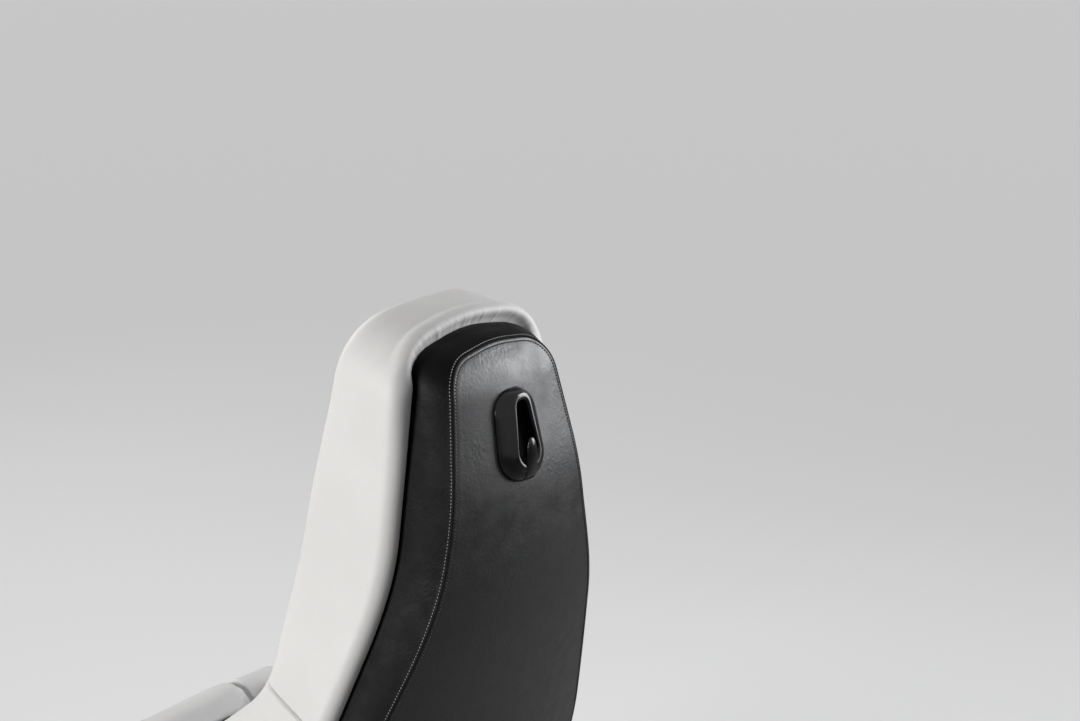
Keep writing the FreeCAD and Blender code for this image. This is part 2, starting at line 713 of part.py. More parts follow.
def lever(name, along, up, length, rise):
    """A flat handle on the outer face of the left cover."""
    body = new_body(name)
    handle = [
        (along + " + boss_r", up + " - boss_r * 0.8"),
        (along + " + boss_r", up + " + boss_r * 0.9"),
        (along + " - " + length, up + " + boss_r * 0.8 + " + rise, "boss_r * 0.5"),
        (along + " - " + length, up + " - boss_r * 0.5 + " + rise, "boss_r * 0.5"),
    ]
    pad(body, draw(body, "YZ_Plane", "cover_x + seam_gap + lever_t / 2", handle), "lever_t", symmetric=True)
    return finish_piece(body.Label, body)


# Belt buckle on its stalk, on the inboard side

def buckle_stalk():
    body = new_body("buckle_stalk")
    strap = [
        ("recliner_y - 172", "recliner_z - 30", "9"),
        ("recliner_y - 148", "recliner_z - 30", "9"),
        ("recliner_y - 172", "stalk_top"),
        ("recliner_y - 196", "stalk_top"),
    ]
    plate_on_side(body, -1, "cover_x + seam_gap", "stalk_t", strap)
    return finish_piece(body.Label, body)


def buckle():
    body = new_body("buckle")
    block = [
        ("recliner_y - 160", "stalk_top + seam_gap", "6"),
        ("recliner_y - 176", "stalk_top + 74", "8"),
        ("recliner_y - 214", "stalk_top + 70", "8"),
        ("recliner_y - 204", "stalk_top + seam_gap", "6"),
    ]
    plate_on_side(body, -1, "cover_x - buckle_t / 4", "buckle_t", block)
    return finish_piece(body.Label, body)


# Backrest outlines seen from behind, all from the hood's outline

def back_outline(side_in, top_in, low, low_half):
    """The right half of an outline inset at the sides and at the top."""
    return [
        ("%s - %s" % (low_half, side_in), low, "24"),
        ("waist_half - %s" % side_in, "waist_z", "170"),
        ("neck_half - %s" % side_in, "neck_z", "300"),
        ("head_half - %s" % side_in, "head_z - %s * 0.85" % top_in, "head_round - %s * 1.3" % side_in),
        ("0", "back_top - %s" % top_in, "crown_round"),
    ]


# Backrest profiles seen from the side: (along Y, height, radius), listed upwards

def rear_line(inward):
    return [
        ("rear_low_y - (%s)" % inward, "shell_low - 40"),
        ("rear_neck_y - (%s)" % inward, "rear_back_z", "500"),
        ("rear_neck_y - (%s)" % inward, "rear_neck_z", "400"),
        ("rear_top_y - (%s)" % inward, "back_top"),
    ]


def groove_line(inward):
    return [
        ("groove_low_y - 10 - (%s)" % inward, "shell_low - 40"),
        ("groove_y - (%s)" % inward, "groove_z", "500"),
        ("groove_y - 6 - (%s)" % inward, "back_top + 30"),
    ]


def hood_front():
    return [
        ("bolster_hem_y", "hem_z - 40"),
        ("bolster_low_y", "bolster_low_z", "110"),
        ("bolster_y", "bolster_z", "60"),
        ("front_chest_y", "front_chest_z", "60"),
        ("front_neck_y", "front_neck_z", "500"),
        ("front_top_y", "back_top + 10"),
    ]


def insert_front(inward):
    return [
        ("insert_hem_y - (%s)" % inward, "hem_z - 40"),
        ("insert_lumbar_y - (%s)" % inward, "insert_lumbar_z", "260"),
        ("insert_chest_y - (%s)" % inward, "seam_z", "400"),
        ("insert_neck_y - (%s)" % inward, "insert_top", "300"),
        ("insert_head_y - (%s)" % inward, "head_insert_top + 60"),
    ]


FAR_FRONT = "-60"
FAR_REAR = "560"


def cut_behind(body, line):
    cut_through(body, draw(body, "YZ_Plane", "0", line + [(FAR_REAR, line[-1][1]), (FAR_REAR, line[0][1])]))


def cut_before(body, line):
    cut_through(body, draw(body, "YZ_Plane", "0", line + [(FAR_FRONT, line[-1][1]), (FAR_FRONT, line[0][1])]))


def back_block(name, outline):
    """The outline padded through the whole depth of the backrest."""
    body = new_body(name)
    sketch = draw(body, "XZ_Plane", "(%s + %s) / 2" % (FAR_FRONT, FAR_REAR), both_sides(outline))
    pad(body, sketch, "%s - (%s) - 20" % (FAR_REAR, FAR_FRONT), symmetric=True)
    return body


def seam_slope():
    """The seam of hood and bolsters, as a height at a place along Y."""
    return "seam_z - ({0} - front_chest_y) * tan(seam_drop * 1 deg)"


def hood():
    body = back_block("hood", back_outline("0", "0", "hem_z", "hem_half"))
    cut_before(body, hood_front())
    cut_behind(body, groove_line("seam_gap"))
    below = [
        ("0", seam_slope().format("(0)")),
        ("400", seam_slope().format("(400)")),
        ("400", "hem_z - 60"),
        ("0", "hem_z - 60"),
    ]
    cut_through(body, draw(body, "YZ_Plane", "0", below))
    window = both_sides([
        ("insert_half + seam_gap", "hem_z - 10"),
        ("insert_chest_half + seam_gap", "seam_z", "200"),
        ("insert_top_half + seam_gap", "insert_top + seam_gap", "20"),
        ("head_insert_half + seam_gap", "head_insert_top + seam_gap", "30"),
    ])
    cut_through(body, draw(body, "XZ_Plane", "0", window))
    return finish_piece(body.Label, body)


def back_insert():
    outline = [
        ("insert_half", "hem_z + seam_gap", "12"),
        ("insert_chest_half", "seam_z", "200"),
        ("insert_top_half", "insert_top - seam_gap", "8"),
    ]
    body = back_block("back_insert", outline)
    cut_before(body, insert_front("0"))
    cut_behind(body, groove_line("seam_gap"))
    return finish_piece(body.Label, body)


def head_insert():
    outline = [
        ("insert_top_half - 1", "insert_top + seam_gap", "8"),
        ("head_insert_half", "head_insert_top", "30"),
    ]
    body = back_block("head_insert", outline)
    cut_before(body, insert_front("0"))
    cut_behind(body, groove_line("seam_gap"))
    return finish_piece(body.Label, body)


def back_bolster(side, sign):
    body = new_body("back_bolster_" + side)
    outline = [
        (on_side(sign, "hem_half"), "hem_z", "hem_round"),
        (on_side(sign, "waist_half"), "waist_z", "170"),
        (on_side(sign, "neck_half"), "neck_z"),
        (on_side(sign, "insert_chest_half - 20"), "neck_z"),
        (on_side(sign, "insert_chest_half + seam_gap"), "seam_z", "200"),
        (on_side(sign, "insert_half + seam_gap"), "hem_z"),
    ]
    pad(body, draw(body, "XZ_Plane", "250", outline), "480", symmetric=True)
    cut_before(body, hood_front())
    cut_behind(body, groove_line("seam_gap"))
    above = [
        ("0", seam_slope().format("(0)") + " - seam_gap"),
        ("0", "neck_z + 60"),
        ("600", "neck_z + 60"),
        ("600", seam_slope().format("(600)") + " - seam_gap"),
    ]
    cut_through(body, draw(body, "YZ_Plane", "0", above))
    return finish_piece(body.Label, body)


def back_shell():
    body = back_block("back_shell", back_outline("groove_in", "groove_top", "shell_low", "(hem_half - 6)"))
    cut_before(body, groove_line("0"))
    cut_behind(body, rear_line("panel_t + seam_gap"))
    return finish_piece(body.Label, body)


def rear_panel():
    inset = "(groove_in + panel_in)"
    body = back_block("rear_panel", back_outline(inset, "(groove_top + panel_top)", "shell_low + 30", "(hem_half - 2)"))
    cut_before(body, rear_line("panel_t"))
    cut_behind(body, rear_line("0"))
    return finish_piece(body.Label, body)


# Backrest frame: arms on the recliner shafts, tied by a tube below the cushions

def back_frame():
    body = new_body("back_frame")
    inner = "member_x - member_plate - 2 * seam_gap - recliner_t - arm_plate"
    arm = [
        ("recliner_y - arm_r", "recliner_z - arm_r", "arm_r * 0.97"),
        ("recliner_y + arm_r", "recliner_z - arm_r", "arm_r * 0.9"),
        ("recliner_y + arm_r - 21", "hem_z - seam_gap"),
        ("recliner_y - arm_r - 12", "hem_z - seam_gap"),
    ]
    tube = new_sketch(body, "YZ_Plane", "0")
    add_circle(tube, "recliner_y - 20", "recliner_z + arm_r", "back_tube / 2")
    pad(body, tube, "2 * (" + inner + " + arm_plate)", symmetric=True)
    for side, sign in SIDES:
        plate_on_side(body, sign, inner, "arm_plate", arm)
    hole = new_sketch(body, "YZ_Plane", "0")
    add_circle(hole, "recliner_y", "recliner_z", "recliner_pin / 2 + pin_fit")
    cut_through(body, hole)
    cut_behind(body, groove_line("seam_gap"))
    return finish_piece(body.Label, body)


# Coat hook: a raised housing with a recess, and the tongue inside it

HOOK_BACK = "rear_neck_y + (hook_low_out - hook_high_in) / 2"


def lean(sketch):
    """Turns a sketch about the middle of the hook's back until it lies along it."""
    sketch.AttachmentOffset = FreeCAD.Placement(FreeCAD.Vector(), FreeCAD.Rotation(FreeCAD.Vector(1, 0, 0), 1))
    sketch.setExpression(".AttachmentOffset.Base.y", bound("hook_z * 1 mm"))
    sketch.setExpression(".AttachmentOffset.Rotation.Angle",
                         bound("atan((hook_high_in + hook_low_out) / hook_tall)"))
    return sketch


def hook_housing():
    body = new_body("hook_housing")
    outline = both_sides([
        ("hook_wide / 2", "-hook_tall / 2", "hook_wide * 0.45"),
        ("hook_wide * 0.42", "hook_tall / 2", "hook_wide * 0.36"),
    ])
    block = pad(body, lean(draw(body, "XZ_Plane", HOOK_BACK, outline)), "hook_out")
    block.Reversed = True
    doc.recompute()
    faces = block.Shape.Faces
    rear = max(range(len(faces)), key=lambda i: faces[i].CenterOfMass.y)
    flank = body.newObject("PartDesign::Chamfer", "flank")
    flank.Base = (block, ["Face%d" % (rear + 1)])
    flank.setExpression("Size", bound("hook_flank"))
    doc.recompute()
    window = both_sides([
        ("recess_half", "recess_low - hook_tall / 2", "recess_half * 0.5"),
        ("recess_half * 0.4", "hook_tall / 2 - recess_high", "recess_half * 0.35"),
    ])
    cut_through(body, lean(draw(body, "XZ_Plane", HOOK_BACK, window)))
    return finish_piece(body.Label, body)


def hook_tongue():
    body = new_body("hook_tongue")
    blade = both_sides([
        ("tongue_half", "recess_low - hook_tall / 2 + seam_gap"),
        ("tongue_half", "0", "tongue_half * 0.94"),
    ])
    pad(body, lean(draw(body, "XZ_Plane", HOOK_BACK, blade)), "hook_out * 1.1").Reversed = True
    return finish_piece(body.Label, body)


for side, sign in SIDES:
    lower_rail(side, sign)
    for end, way in ENDS:
        foot(end, way, side, sign)
    upper_rail(side, sign)
release_bar()
link("front", "link_front")
link("rear", "link_rear")
for side, sign in SIDES:
    side_member(side, sign)
recliner_pair()
seat_pan()
rear_cross_tube()
spring_mat()
seat_cushion()
thigh_roll()
for side, sign in SIDES:
    seat_bolster(side, sign)
    side_cover(side, sign)
lever("height_lever", "height_y", "pan_z - 20", "height_reach", "boss_r * 0.8")
lever("recline_lever", "recline_y", "pan_z - 6", "recline_reach", "boss_r")
buckle_stalk()
buckle()
back_frame()
hood()
back_insert()
head_insert()
for side, sign in SIDES:
    back_bolster(side, sign)
back_shell()
rear_panel()
hook_housing()
hook_tongue()

doc.recompute()
for item in doc.Objects:
    if "Invalid" in item.State or "Error" in item.State:
        raise RuntimeError("%s did not build: %s" % (item.Name, item.State))
os.makedirs("parts", exist_ok=True)
for name, piece in PIECES:
    if piece.Shape.isNull() or not piece.Shape.isValid() or len(piece.Shape.Solids) != 1:
        raise RuntimeError("%s is not one valid solid" % name)
    piece.Shape.exportStep("parts/%s.step" % name)
    box = piece.Shape.BoundBox
    print("%-22s solids %d volume %9.0f x %7.1f %7.1f y %7.1f %7.1f z %7.1f %7.1f" % (
        name, len(piece.Shape.Solids), piece.Shape.Volume,
        box.XMin, box.XMax, box.YMin, box.YMax, box.ZMin, box.ZMax))
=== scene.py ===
import math

import bmesh
import bpy
import numpy as np
from bpy.props import FloatProperty, FloatVectorProperty, IntProperty, PointerProperty
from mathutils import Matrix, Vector


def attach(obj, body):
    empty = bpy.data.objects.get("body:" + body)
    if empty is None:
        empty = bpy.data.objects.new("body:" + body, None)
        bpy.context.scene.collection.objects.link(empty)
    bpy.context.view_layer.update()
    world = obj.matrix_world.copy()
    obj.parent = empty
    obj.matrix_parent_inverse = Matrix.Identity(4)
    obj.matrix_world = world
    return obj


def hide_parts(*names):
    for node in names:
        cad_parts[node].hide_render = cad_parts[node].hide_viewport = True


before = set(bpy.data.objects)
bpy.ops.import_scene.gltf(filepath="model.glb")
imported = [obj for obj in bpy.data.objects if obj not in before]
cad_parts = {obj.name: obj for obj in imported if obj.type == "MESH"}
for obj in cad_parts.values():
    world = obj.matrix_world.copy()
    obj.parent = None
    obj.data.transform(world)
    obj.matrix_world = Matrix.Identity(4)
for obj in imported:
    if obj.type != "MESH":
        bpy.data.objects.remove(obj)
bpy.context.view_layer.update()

bl_info = {
    "name": "Roadster bucket seat",
    "version": (1, 0, 0),
    "blender": (4, 5, 0),
    "location": "3D View > Sidebar > Seat",
    "description": "Upholstery, stitching, coat hook and finishes of a sports bucket seat",
    "category": "Add Mesh",
}

SIDES = (("left", 1), ("right", -1))


# Sizes and colours that a user would change

def length(name, description, default):
    return FloatProperty(name=name, description=description, default=default, unit="LENGTH", precision=4)


def colour(name, description, default):
    return FloatVectorProperty(
        name=name, description=description, default=default, size=3, subtype="COLOR", min=0.0, max=1.0)


class SeatShape(bpy.types.PropertyGroup):
    """Main sizes of the backrest and its upholstery."""
    crown_height: length("Crown height", "Top of the hood over the floor", 1.0385)
    head_height: length("Head corner height", "Height of the hood's upper corners", 1.018)
    head_half: length("Head half width", "Half width at the hood's upper corners", 0.1095)
    neck_height: length("Neck height", "Height where the sides begin to spread", 0.770)
    neck_half: length("Neck half width", "Half width at the neck", 0.149)
    waist_height: length("Waist height", "Height of the widest place", 0.415)
    waist_half: length("Waist half width", "Half width at the waist", 0.262)
    hem_height: length("Hem height", "Lower edge of the bolsters", 0.300)
    hem_half: length("Hem half width", "Half width at the lower edge", 0.226)
    head_round: length("Head corner radius", "Corner radius of the hood", 0.066)
    shell_inset: length("Shell inset", "Shell edge inside the hood", 0.018)
    panel_inset: length("Panel inset", "Rear panel's seam inside the hood", 0.030)
    roll: length("Roll radius", "Rolled rear edge of the white leather", 0.021)
    brow: length("Brow radius", "Rounded front edge of the white leather", 0.022)
    shell_round: length("Rear crown radius", "Radius of the rear panel across the seat", 0.620)
    seam_height: length("Seam height", "Seam of hood and bolsters at the front", 0.610)
    puff: length("Puff", "How far the white leather bulges over its outline", 0.0035)


class SeatStitch(bpy.types.PropertyGroup):
    """Stitching along the rear panel's seam."""
    pitch: length("Stitch pitch", "Distance from stitch to stitch", 0.0038)
    thread: length("Thread radius", "Radius of the outer row's thread", 0.00050)
    # Thicker than the outer thread, so that its dark dots also paint the shade of the stitch holes.
    thread_in: length("Inner thread radius", "Radius of the inner row's thread", 0.00080)
    offset: length("Row offset", "Distance of each row from the seam", 0.0040)
    sides: IntProperty(name="Thread sides", description="Faces round a thread", default=5, min=3, max=12)


class SeatColours(bpy.types.PropertyGroup):
    """Colours of the seat's finishes."""
    white: colour("White leather", "Hood, bolsters and thigh roll", (0.725, 0.716, 0.704))
    black: colour("Black leather", "Shell, rear panel and inserts", (0.0055, 0.0055, 0.0062))
    # Light grey: painted highlight on the outer row's black thread.
    thread: colour("Outer thread", "Stitches on the shell beside the rear panel", (0.36, 0.36, 0.36))
    # Near black: the inner thread's own colour. Its dots also paint the shade of the stitch holes.
    thread_in: colour("Inner thread", "Stitches on the rear panel", (0.012, 0.012, 0.013))
    steel: colour("Painted steel", "Rails, links and pan", (0.014, 0.014, 0.015))
    zinc: colour("Plated steel", "Upper rails, recliner shaft and springs", (0.55, 0.55, 0.56))
    plastic: colour("Moulded plastic", "Side covers and levers", (0.014, 0.014, 0.015))
    gloss: colour("Gloss black", "Coat hook", (0.004, 0.004, 0.0045))


def shape():
    return bpy.context.scene.seat_shape


def colours():
    return bpy.context.scene.seat_colours


# Lines: runs of straight pieces with rounded corners

def rounded(corners, step=0.003):
    """Points along an open run of (a, b, radius) corners, rounded and evenly close."""
    points = [np.array(corner[:2], float) for corner in corners]
    out = [points[0]]
    for i in range(1, len(points) - 1):
        radius = corners[i][2]
        if not radius:
            out.append(points[i])
            continue
        before = points[i - 1] - points[i]
        after = points[i + 1] - points[i]
        before /= np.linalg.norm(before)
        after /= np.linalg.norm(after)
        half = math.acos(max(-1.0, min(1.0, float(before @ after)))) / 2
        reach = radius / math.tan(half)
        middle = before + after
        middle /= np.linalg.norm(middle)
        centre = points[i] + middle * radius / math.sin(half)
        start = points[i] + before * reach - centre
        end = points[i] + after * reach - centre
        turn = math.pi - 2 * half
        count = max(4, int(radius * turn / step))
        sense = np.sign(start[0] * end[1] - start[1] * end[0])
        for k in range(count + 1):
            a = sense * turn * k / count
            c, s = math.cos(a), math.sin(a)
            out.append(centre + np.array((c * start[0] - s * start[1], s * start[0] + c * start[1])))
    out.append(points[-1])
    return np.array(out)


def along(points):
    """Distance of each point along a run."""
    return np.concatenate(([0.0], np.cumsum(np.linalg.norm(np.diff(points, axis=0), axis=1))))


def at(points, distances):
    """Points at the given distances along a run."""
    run = along(points)
    return np.stack([np.interp(distances, run, points[:, k]) for k in range(points.shape[1])], axis=-1)


def evenly(points, count):
    """A run cut into points at equal distances."""
    return at(points, np.linspace(0.0, along(points)[-1], count))


def softened(points, reach, closed=False):
    """The same run with its bends eased over a reach, its ends held."""
    total = along(points)[-1]
    count = max(40, int(total / 0.002))
    even = evenly(points, count)
    width = max(1, int(reach / (total / count)))
    kernel = np.hanning(2 * width + 3)[1:-1]
    kernel /= kernel.sum()
    pad = len(kernel) // 2
    if closed:
        even = even[:-1]
        before = even[-pad:]
        after = even[:pad]
    else:
        before = 2 * even[0] - even[pad:0:-1]
        after = 2 * even[-1] - even[-2:-pad - 2:-1]
    wrapped = np.concatenate((before, even, after))
    eased = np.stack([np.convolve(wrapped[:, k], kernel, "valid") for k in range(2)], axis=-1)
    return np.concatenate((eased, eased[:1])) if closed else eased


def height_line(corners):
    """A function from height to place along Y, from (y, z, radius) corners listed upwards."""
    run = rounded(corners)
    return lambda z: np.interp(z, run[:, 1], run[:, 0])


def along_line(corners):
    """A function from place along Y to height, from (y, z, radius) corners listed rearwards."""
    run = rounded(corners)
    return lambda y: np.interp(y, run[:, 0], run[:, 1])


def smooth(value, low, high):
    """Rises from 0 at low to 1 at high, with level ends."""
    t = np.clip((value - low) / (high - low), 0.0, 1.0)
    return t * t * (3 - 2 * t)


# The seat's lines seen from the side, in metres, from the same places as its solids

groove_y = height_line([(0.218, 0.205, 0), (0.366, 0.740, 0.5), (0.366, 0.972, 0.10), (0.350, 1.060, 0)])
rear_y = height_line([
    (0.302, 0.205, 0), (0.438, 0.720, 0.5), (0.438, 0.848, 0.4), (0.412, 0.978, 0.10), (0.372, 1.036, 0)])
front_y = height_line([
    (0.132, 0.260, 0), (0.082, 0.385, 0.11), (0.098, 0.490, 0.08),
    (0.216, 0.597, 0.10), (0.229, 0.820, 0.9), (0.268, 1.046, 0)])
insert_y = height_line([
    (0.172, 0.260, 0), (0.188, 0.400, 0.26), (0.238, 0.610, 0.4), (0.248, 0.838, 0.3), (0.284, 1.052, 0)])
cushion_z = along_line([(-0.223, 0.300, 0), (-0.060, 0.266, 0.40), (0.155, 0.280, 0)])
wing_z = along_line([(-0.223, 0.317, 0), (-0.110, 0.327, 0.20), (0.155, 0.267, 0)])

# Half width of the black inserts. Columns: height, half width.
INSERT_WIDTHS = ((0.300, 0.146), (0.610, 0.126), (0.838, 0.088), (0.992, 0.068))
INSERT_TOP, INSERT_TOP_HALF = INSERT_WIDTHS[-1]

# Corner radii of the outline seen from behind
WAIST_ROUND = 0.220
NECK_ROUND = 0.520
CROWN_ROUND = 0.180


def insert_half(z):
    heights, halves = zip(*INSERT_WIDTHS)
    return np.interp(z, heights, halves)


def mirrored(right, crown):
    """An open run of corners: the right side, the crown's corner and the right side mirrored."""
    return right + [crown] + [(-x, z, r) for x, z, r in reversed(right)]


def back_run(side_in, top_in, low, low_half, low_round=0.0):
    """The outline seen from behind, from the lower right end over the top to the lower left."""
    s = shape()
    corners = mirrored([
        (low_half - side_in, low, low_round),
        (s.waist_half - side_in, s.waist_height, WAIST_ROUND),
        (s.neck_half - side_in, s.neck_height, NECK_ROUND),
        (s.head_half - side_in, s.head_height - 0.85 * top_in, s.head_round - 1.3 * side_in),
    ], (0.0, s.crown_height - top_in, CROWN_ROUND))
    if low_round:
        return rounded([(0.0, low, 0)] + corners + [(0.0, low, 0)])
    return rounded(corners)


def rear_surface(x, z):
    """Place along Y of the crowned rear face."""
    return rear_y(z) - x * x / (2 * shape().shell_round)


# Meshes

def make_object(name, verts, faces):
    mesh = bpy.data.meshes.new(name)
    mesh.from_pydata([tuple(v) for v in verts], [], [tuple(f) for f in faces])
    mesh.validate()
    mesh.polygons.foreach_set("use_smooth", [True] * len(mesh.polygons))
    piece = bpy.data.objects.new(name, mesh)
    bpy.context.scene.collection.objects.link(piece)
    return piece


def turn_outwards(piece):
    """Merges doubles and points every face outwards."""
    mesh = bmesh.new()
    mesh.from_mesh(piece.data)
    bmesh.ops.remove_doubles(mesh, verts=mesh.verts, dist=1e-6)
    bmesh.ops.recalc_face_normals(mesh, faces=mesh.faces)
    mesh.to_mesh(piece.data)
    mesh.free()
    return piece


def coordinates(mesh, field="co"):
    """A mesh's vertex places, or another field of three numbers, as rows."""
    values = np.empty(len(mesh.vertices) * 3)
    mesh.vertices.foreach_get(field, values)
    return values.reshape(-1, 3)


def as_shown(piece):
    """A new mesh of the piece with its modifiers applied."""
    graph = bpy.context.evaluated_depsgraph_get()
    return bpy.data.meshes.new_from_object(piece.evaluated_get(graph))


def apply_modifiers(piece):
    """Turns a piece's modifiers into its mesh."""
    before = piece.data
    after = as_shown(piece)
    piece.modifiers.clear()
    piece.data = after
    bpy.data.meshes.remove(before)
    return after


def ring_faces(rings, around, start=0):
    """Faces between closed rings that follow each other."""
    return [
        (start + i * around + j, start + i * around + (j + 1) % around,
         start + (i + 1) * around + (j + 1) % around, start + (i + 1) * around + j)
        for i in range(rings - 1) for j in range(around)]


def tube(name, grid):
    """A closed piece from rings of points, with flat ends."""
    rings, around = grid.shape[:2]
    faces = ring_faces(rings, around)
    faces.append(tuple(range(around)))
    faces.append(tuple((rings - 1) * around + j for j in range(around)))
    return turn_outwards(make_object(name, grid.reshape(-1, 3), faces))


def drawn_in(grid, ends):
    """Draws the first and last rings of a tube towards their middles, so that its ends are rounded."""
    out = grid.copy()
    count = len(grid)
    for end, radius in enumerate(ends):
        first = grid[0] if end == 0 else grid[-1]
        for i in range(count) if end == 0 else range(count - 1, -1, -1):
            gap = float(np.median(np.linalg.norm(grid[i] - first, axis=1)))
            if gap >= radius:
                break
            pull = radius - math.sqrt(radius ** 2 - (radius - gap) ** 2)
            middle = grid[i].mean(axis=0)
            arm = out[i] - middle
            reach = np.linalg.norm(arm, axis=1, keepdims=True)
            out[i] = middle + arm * (1 - np.minimum(0.9, pull / np.maximum(reach, 1e-6)))
    return out


def disc(name, rings, columns, surface):
    """A closed piece over an outline: rings from its front edge to its rear one, then slices across.

    rings[i][j] are points (x, y, z); ring points start at the lower middle and go round by the right."""
    count, around = rings.shape[:2]
    verts = list(rings.reshape(-1, 3))
    faces = ring_faces(count, around)
    half = around // 2
    for end in (0, count - 1):
        base = end * around
        rows = []
        for i in range(1, half):
            right = rings[end][i]
            left = rings[end][around - i]
            row = [base + i]
            for k in range(1, columns):
                t = k / columns
                point = right * (1 - t) + left * t
                if end:
                    point = np.array((point[0], surface(point[0], point[2]), point[2]))
                verts.append(point)
                row.append(len(verts) - 1)
            row.append(base + around - i)
            rows.append(row)
        for low, high in zip(rows, rows[1:]):
            faces += [(low[k], low[k + 1], high[k + 1], high[k]) for k in range(columns)]
        faces += [(base, rows[0][k], rows[0][k + 1]) for k in range(columns)]
        faces += [(base + half, rows[-1][k + 1], rows[-1][k]) for k in range(columns)]
    return turn_outwards(make_object(name, verts, faces))


def closed_ring(run, count):
    """The outline as count points from the lower middle round by the right, the same on both sides."""
    total = along(run)[-1]
    return at(run, total * np.arange(count) / count)


def inward(ring):
    """Unit normals of a closed outline, pointing in."""
    ahead = np.roll(ring, -1, axis=0) - np.roll(ring, 1, axis=0)
    ahead /= np.linalg.norm(ahead, axis=1, keepdims=True)
    return np.stack((-ahead[:, 1], ahead[:, 0]), axis=-1)


def wear(piece, material, body, slot, *nodes):
    """Gives a piece its material and body, and hides the solids it stands for. The slot is not used."""
    piece.data.materials.clear()
    piece.data.materials.append(material)
    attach(piece, body)
    if nodes:
        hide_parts(*nodes)
    return piece


# Node helpers

def put(tree, kind, inputs=None, **settings):
    """Adds a node; inputs are sockets to link from, or values."""
    made = tree.nodes.new(kind)
    for key, value in settings.items():
        setattr(made, key, value)
    for key, value in (inputs or {}).items():
        if isinstance(value, bpy.types.NodeSocket):
            tree.links.new(value, made.inputs[key])
        else:
            made.inputs[key].default_value = value
    return made


def maths(tree, operation, first, second):
    return put(tree, "ShaderNodeMath", {0: first, 1: second}, operation=operation).outputs[0]


def noise(tree, vector, scale, detail=3.0, rough=0.5):
    return put(tree, "ShaderNodeTexNoise", {
        "Vector": vector, "Scale": scale, "Detail": detail, "Roughness": rough}).outputs[0]


def ramped(tree, value, low, high, to_low=0.0, to_high=1.0):
    return put(tree, "ShaderNodeMapRange", {
        "Value": value, "From Min": low, "From Max": high, "To Min": to_low, "To Max": to_high,
    }, interpolation_type="SMOOTHSTEP").outputs[0]


def warped(tree, vector, scale, detail, reach):
    """A place shifted by noise, so that the pattern built on it isn't even."""
    bend = put(tree, "ShaderNodeTexNoise", {"Vector": vector, "Scale": scale, "Detail": detail})
    moved = put(tree, "ShaderNodeVectorMath", {0: bend.outputs["Color"], 1: (reach, reach, reach)},
                operation="MULTIPLY")
    return put(tree, "ShaderNodeVectorMath", {0: vector, 1: moved.outputs[0]}, operation="ADD").outputs[0]


def new_group(name, inputs, outputs):
    """An empty shader group. Returns it, the sockets that come in and the node for what goes out."""
    group = bpy.data.node_groups.new(name, "ShaderNodeTree")
    for socket, kind, value in inputs:
        group.interface.new_socket(socket, in_out="INPUT", socket_type=kind).default_value = value
    for socket, kind in outputs:
        group.interface.new_socket(socket, in_out="OUTPUT", socket_type=kind)
    return group, group.nodes.new("NodeGroupInput").outputs, group.nodes.new("NodeGroupOutput")


# White leather band: hood and back bolsters

# Its section runs from the insert's seam over the brow and the outside to the groove beside the shell.
# Columns: share of the way in to the insert, distance in, share of the way back to the groove, distance back.
INSERT_SEAM = ((1.0, -0.001, 0.0, 0.016), (1.0, -0.001, 0.0, 0.009), (1.0, -0.0018, 0.0, 0.0050),
               (1.0, -0.0040, 0.0, 0.0018))
INNER_WALL = ((1.0, -0.001, 1.0, -0.020), (1.0, -0.001, 0.6, 0.0), (1.0, -0.001, 0.3, 0.0))

# Rear edge at the sides, where it drops into the groove, and over the top, a ridge with a cove behind it.
# Columns: distance in, distance back.
SIDE_GROOVE = ((0.0158, -0.0008), (0.0170, -0.0030), (0.0182, -0.0075), (0.0200, -0.0140), (0.0240, -0.0160))
TOP_RIDGE = ((-0.0026, -0.0155), (-0.0024, -0.0108), (-0.0010, -0.0066), (0.0012, -0.0036), (0.0038, -0.0025),
             (0.0066, -0.0030), (0.0094, -0.0048), (0.0120, -0.0070), (0.0146, -0.0089), (0.0172, -0.0102),
             (0.0196, -0.0113), (0.0220, -0.0132), (0.0240, -0.0170))

# Steps along the section's face, brow and side, and points of its rear edge
FACE_STEPS = 9
BROW_STEPS = 10
SIDE_STEPS = 17
EDGE_POINTS = 24
FACE_PUFF = 0.0012
FACE_SINK = 0.0060
EDGE_WIDTH = 0.7

# The run of rings and the cap that the head insert's seam makes over them
BAND_RINGS = 520
BAND_EASE = 0.024
CAP_TURN = 0.945
CAP_ROUND = 0.030
ARM_EASE = 8

# The sloped seam between hood and bolsters, and the rounding of their ends
SEAM_PLACE = 0.216
SEAM_SLOPE = math.tan(math.radians(19))
SEAM_GAP = 0.0004
SEAM_ROUND = 0.0035
HEM_ROUND = 0.020
HOOD_RINGS = 470
BOLSTER_RINGS = 190

# Gathers in the cove, in the columns between ridge and groove
PUCKER_DEPTH = 0.00018
PUCKER_WAVES = (0.0063, 0.0081, 0.0117, 0.0173, 0.026)
PUCKER_SEED = 7
RIDGE_COLUMN = 40
COVE_START = 47
COVE_END = 61


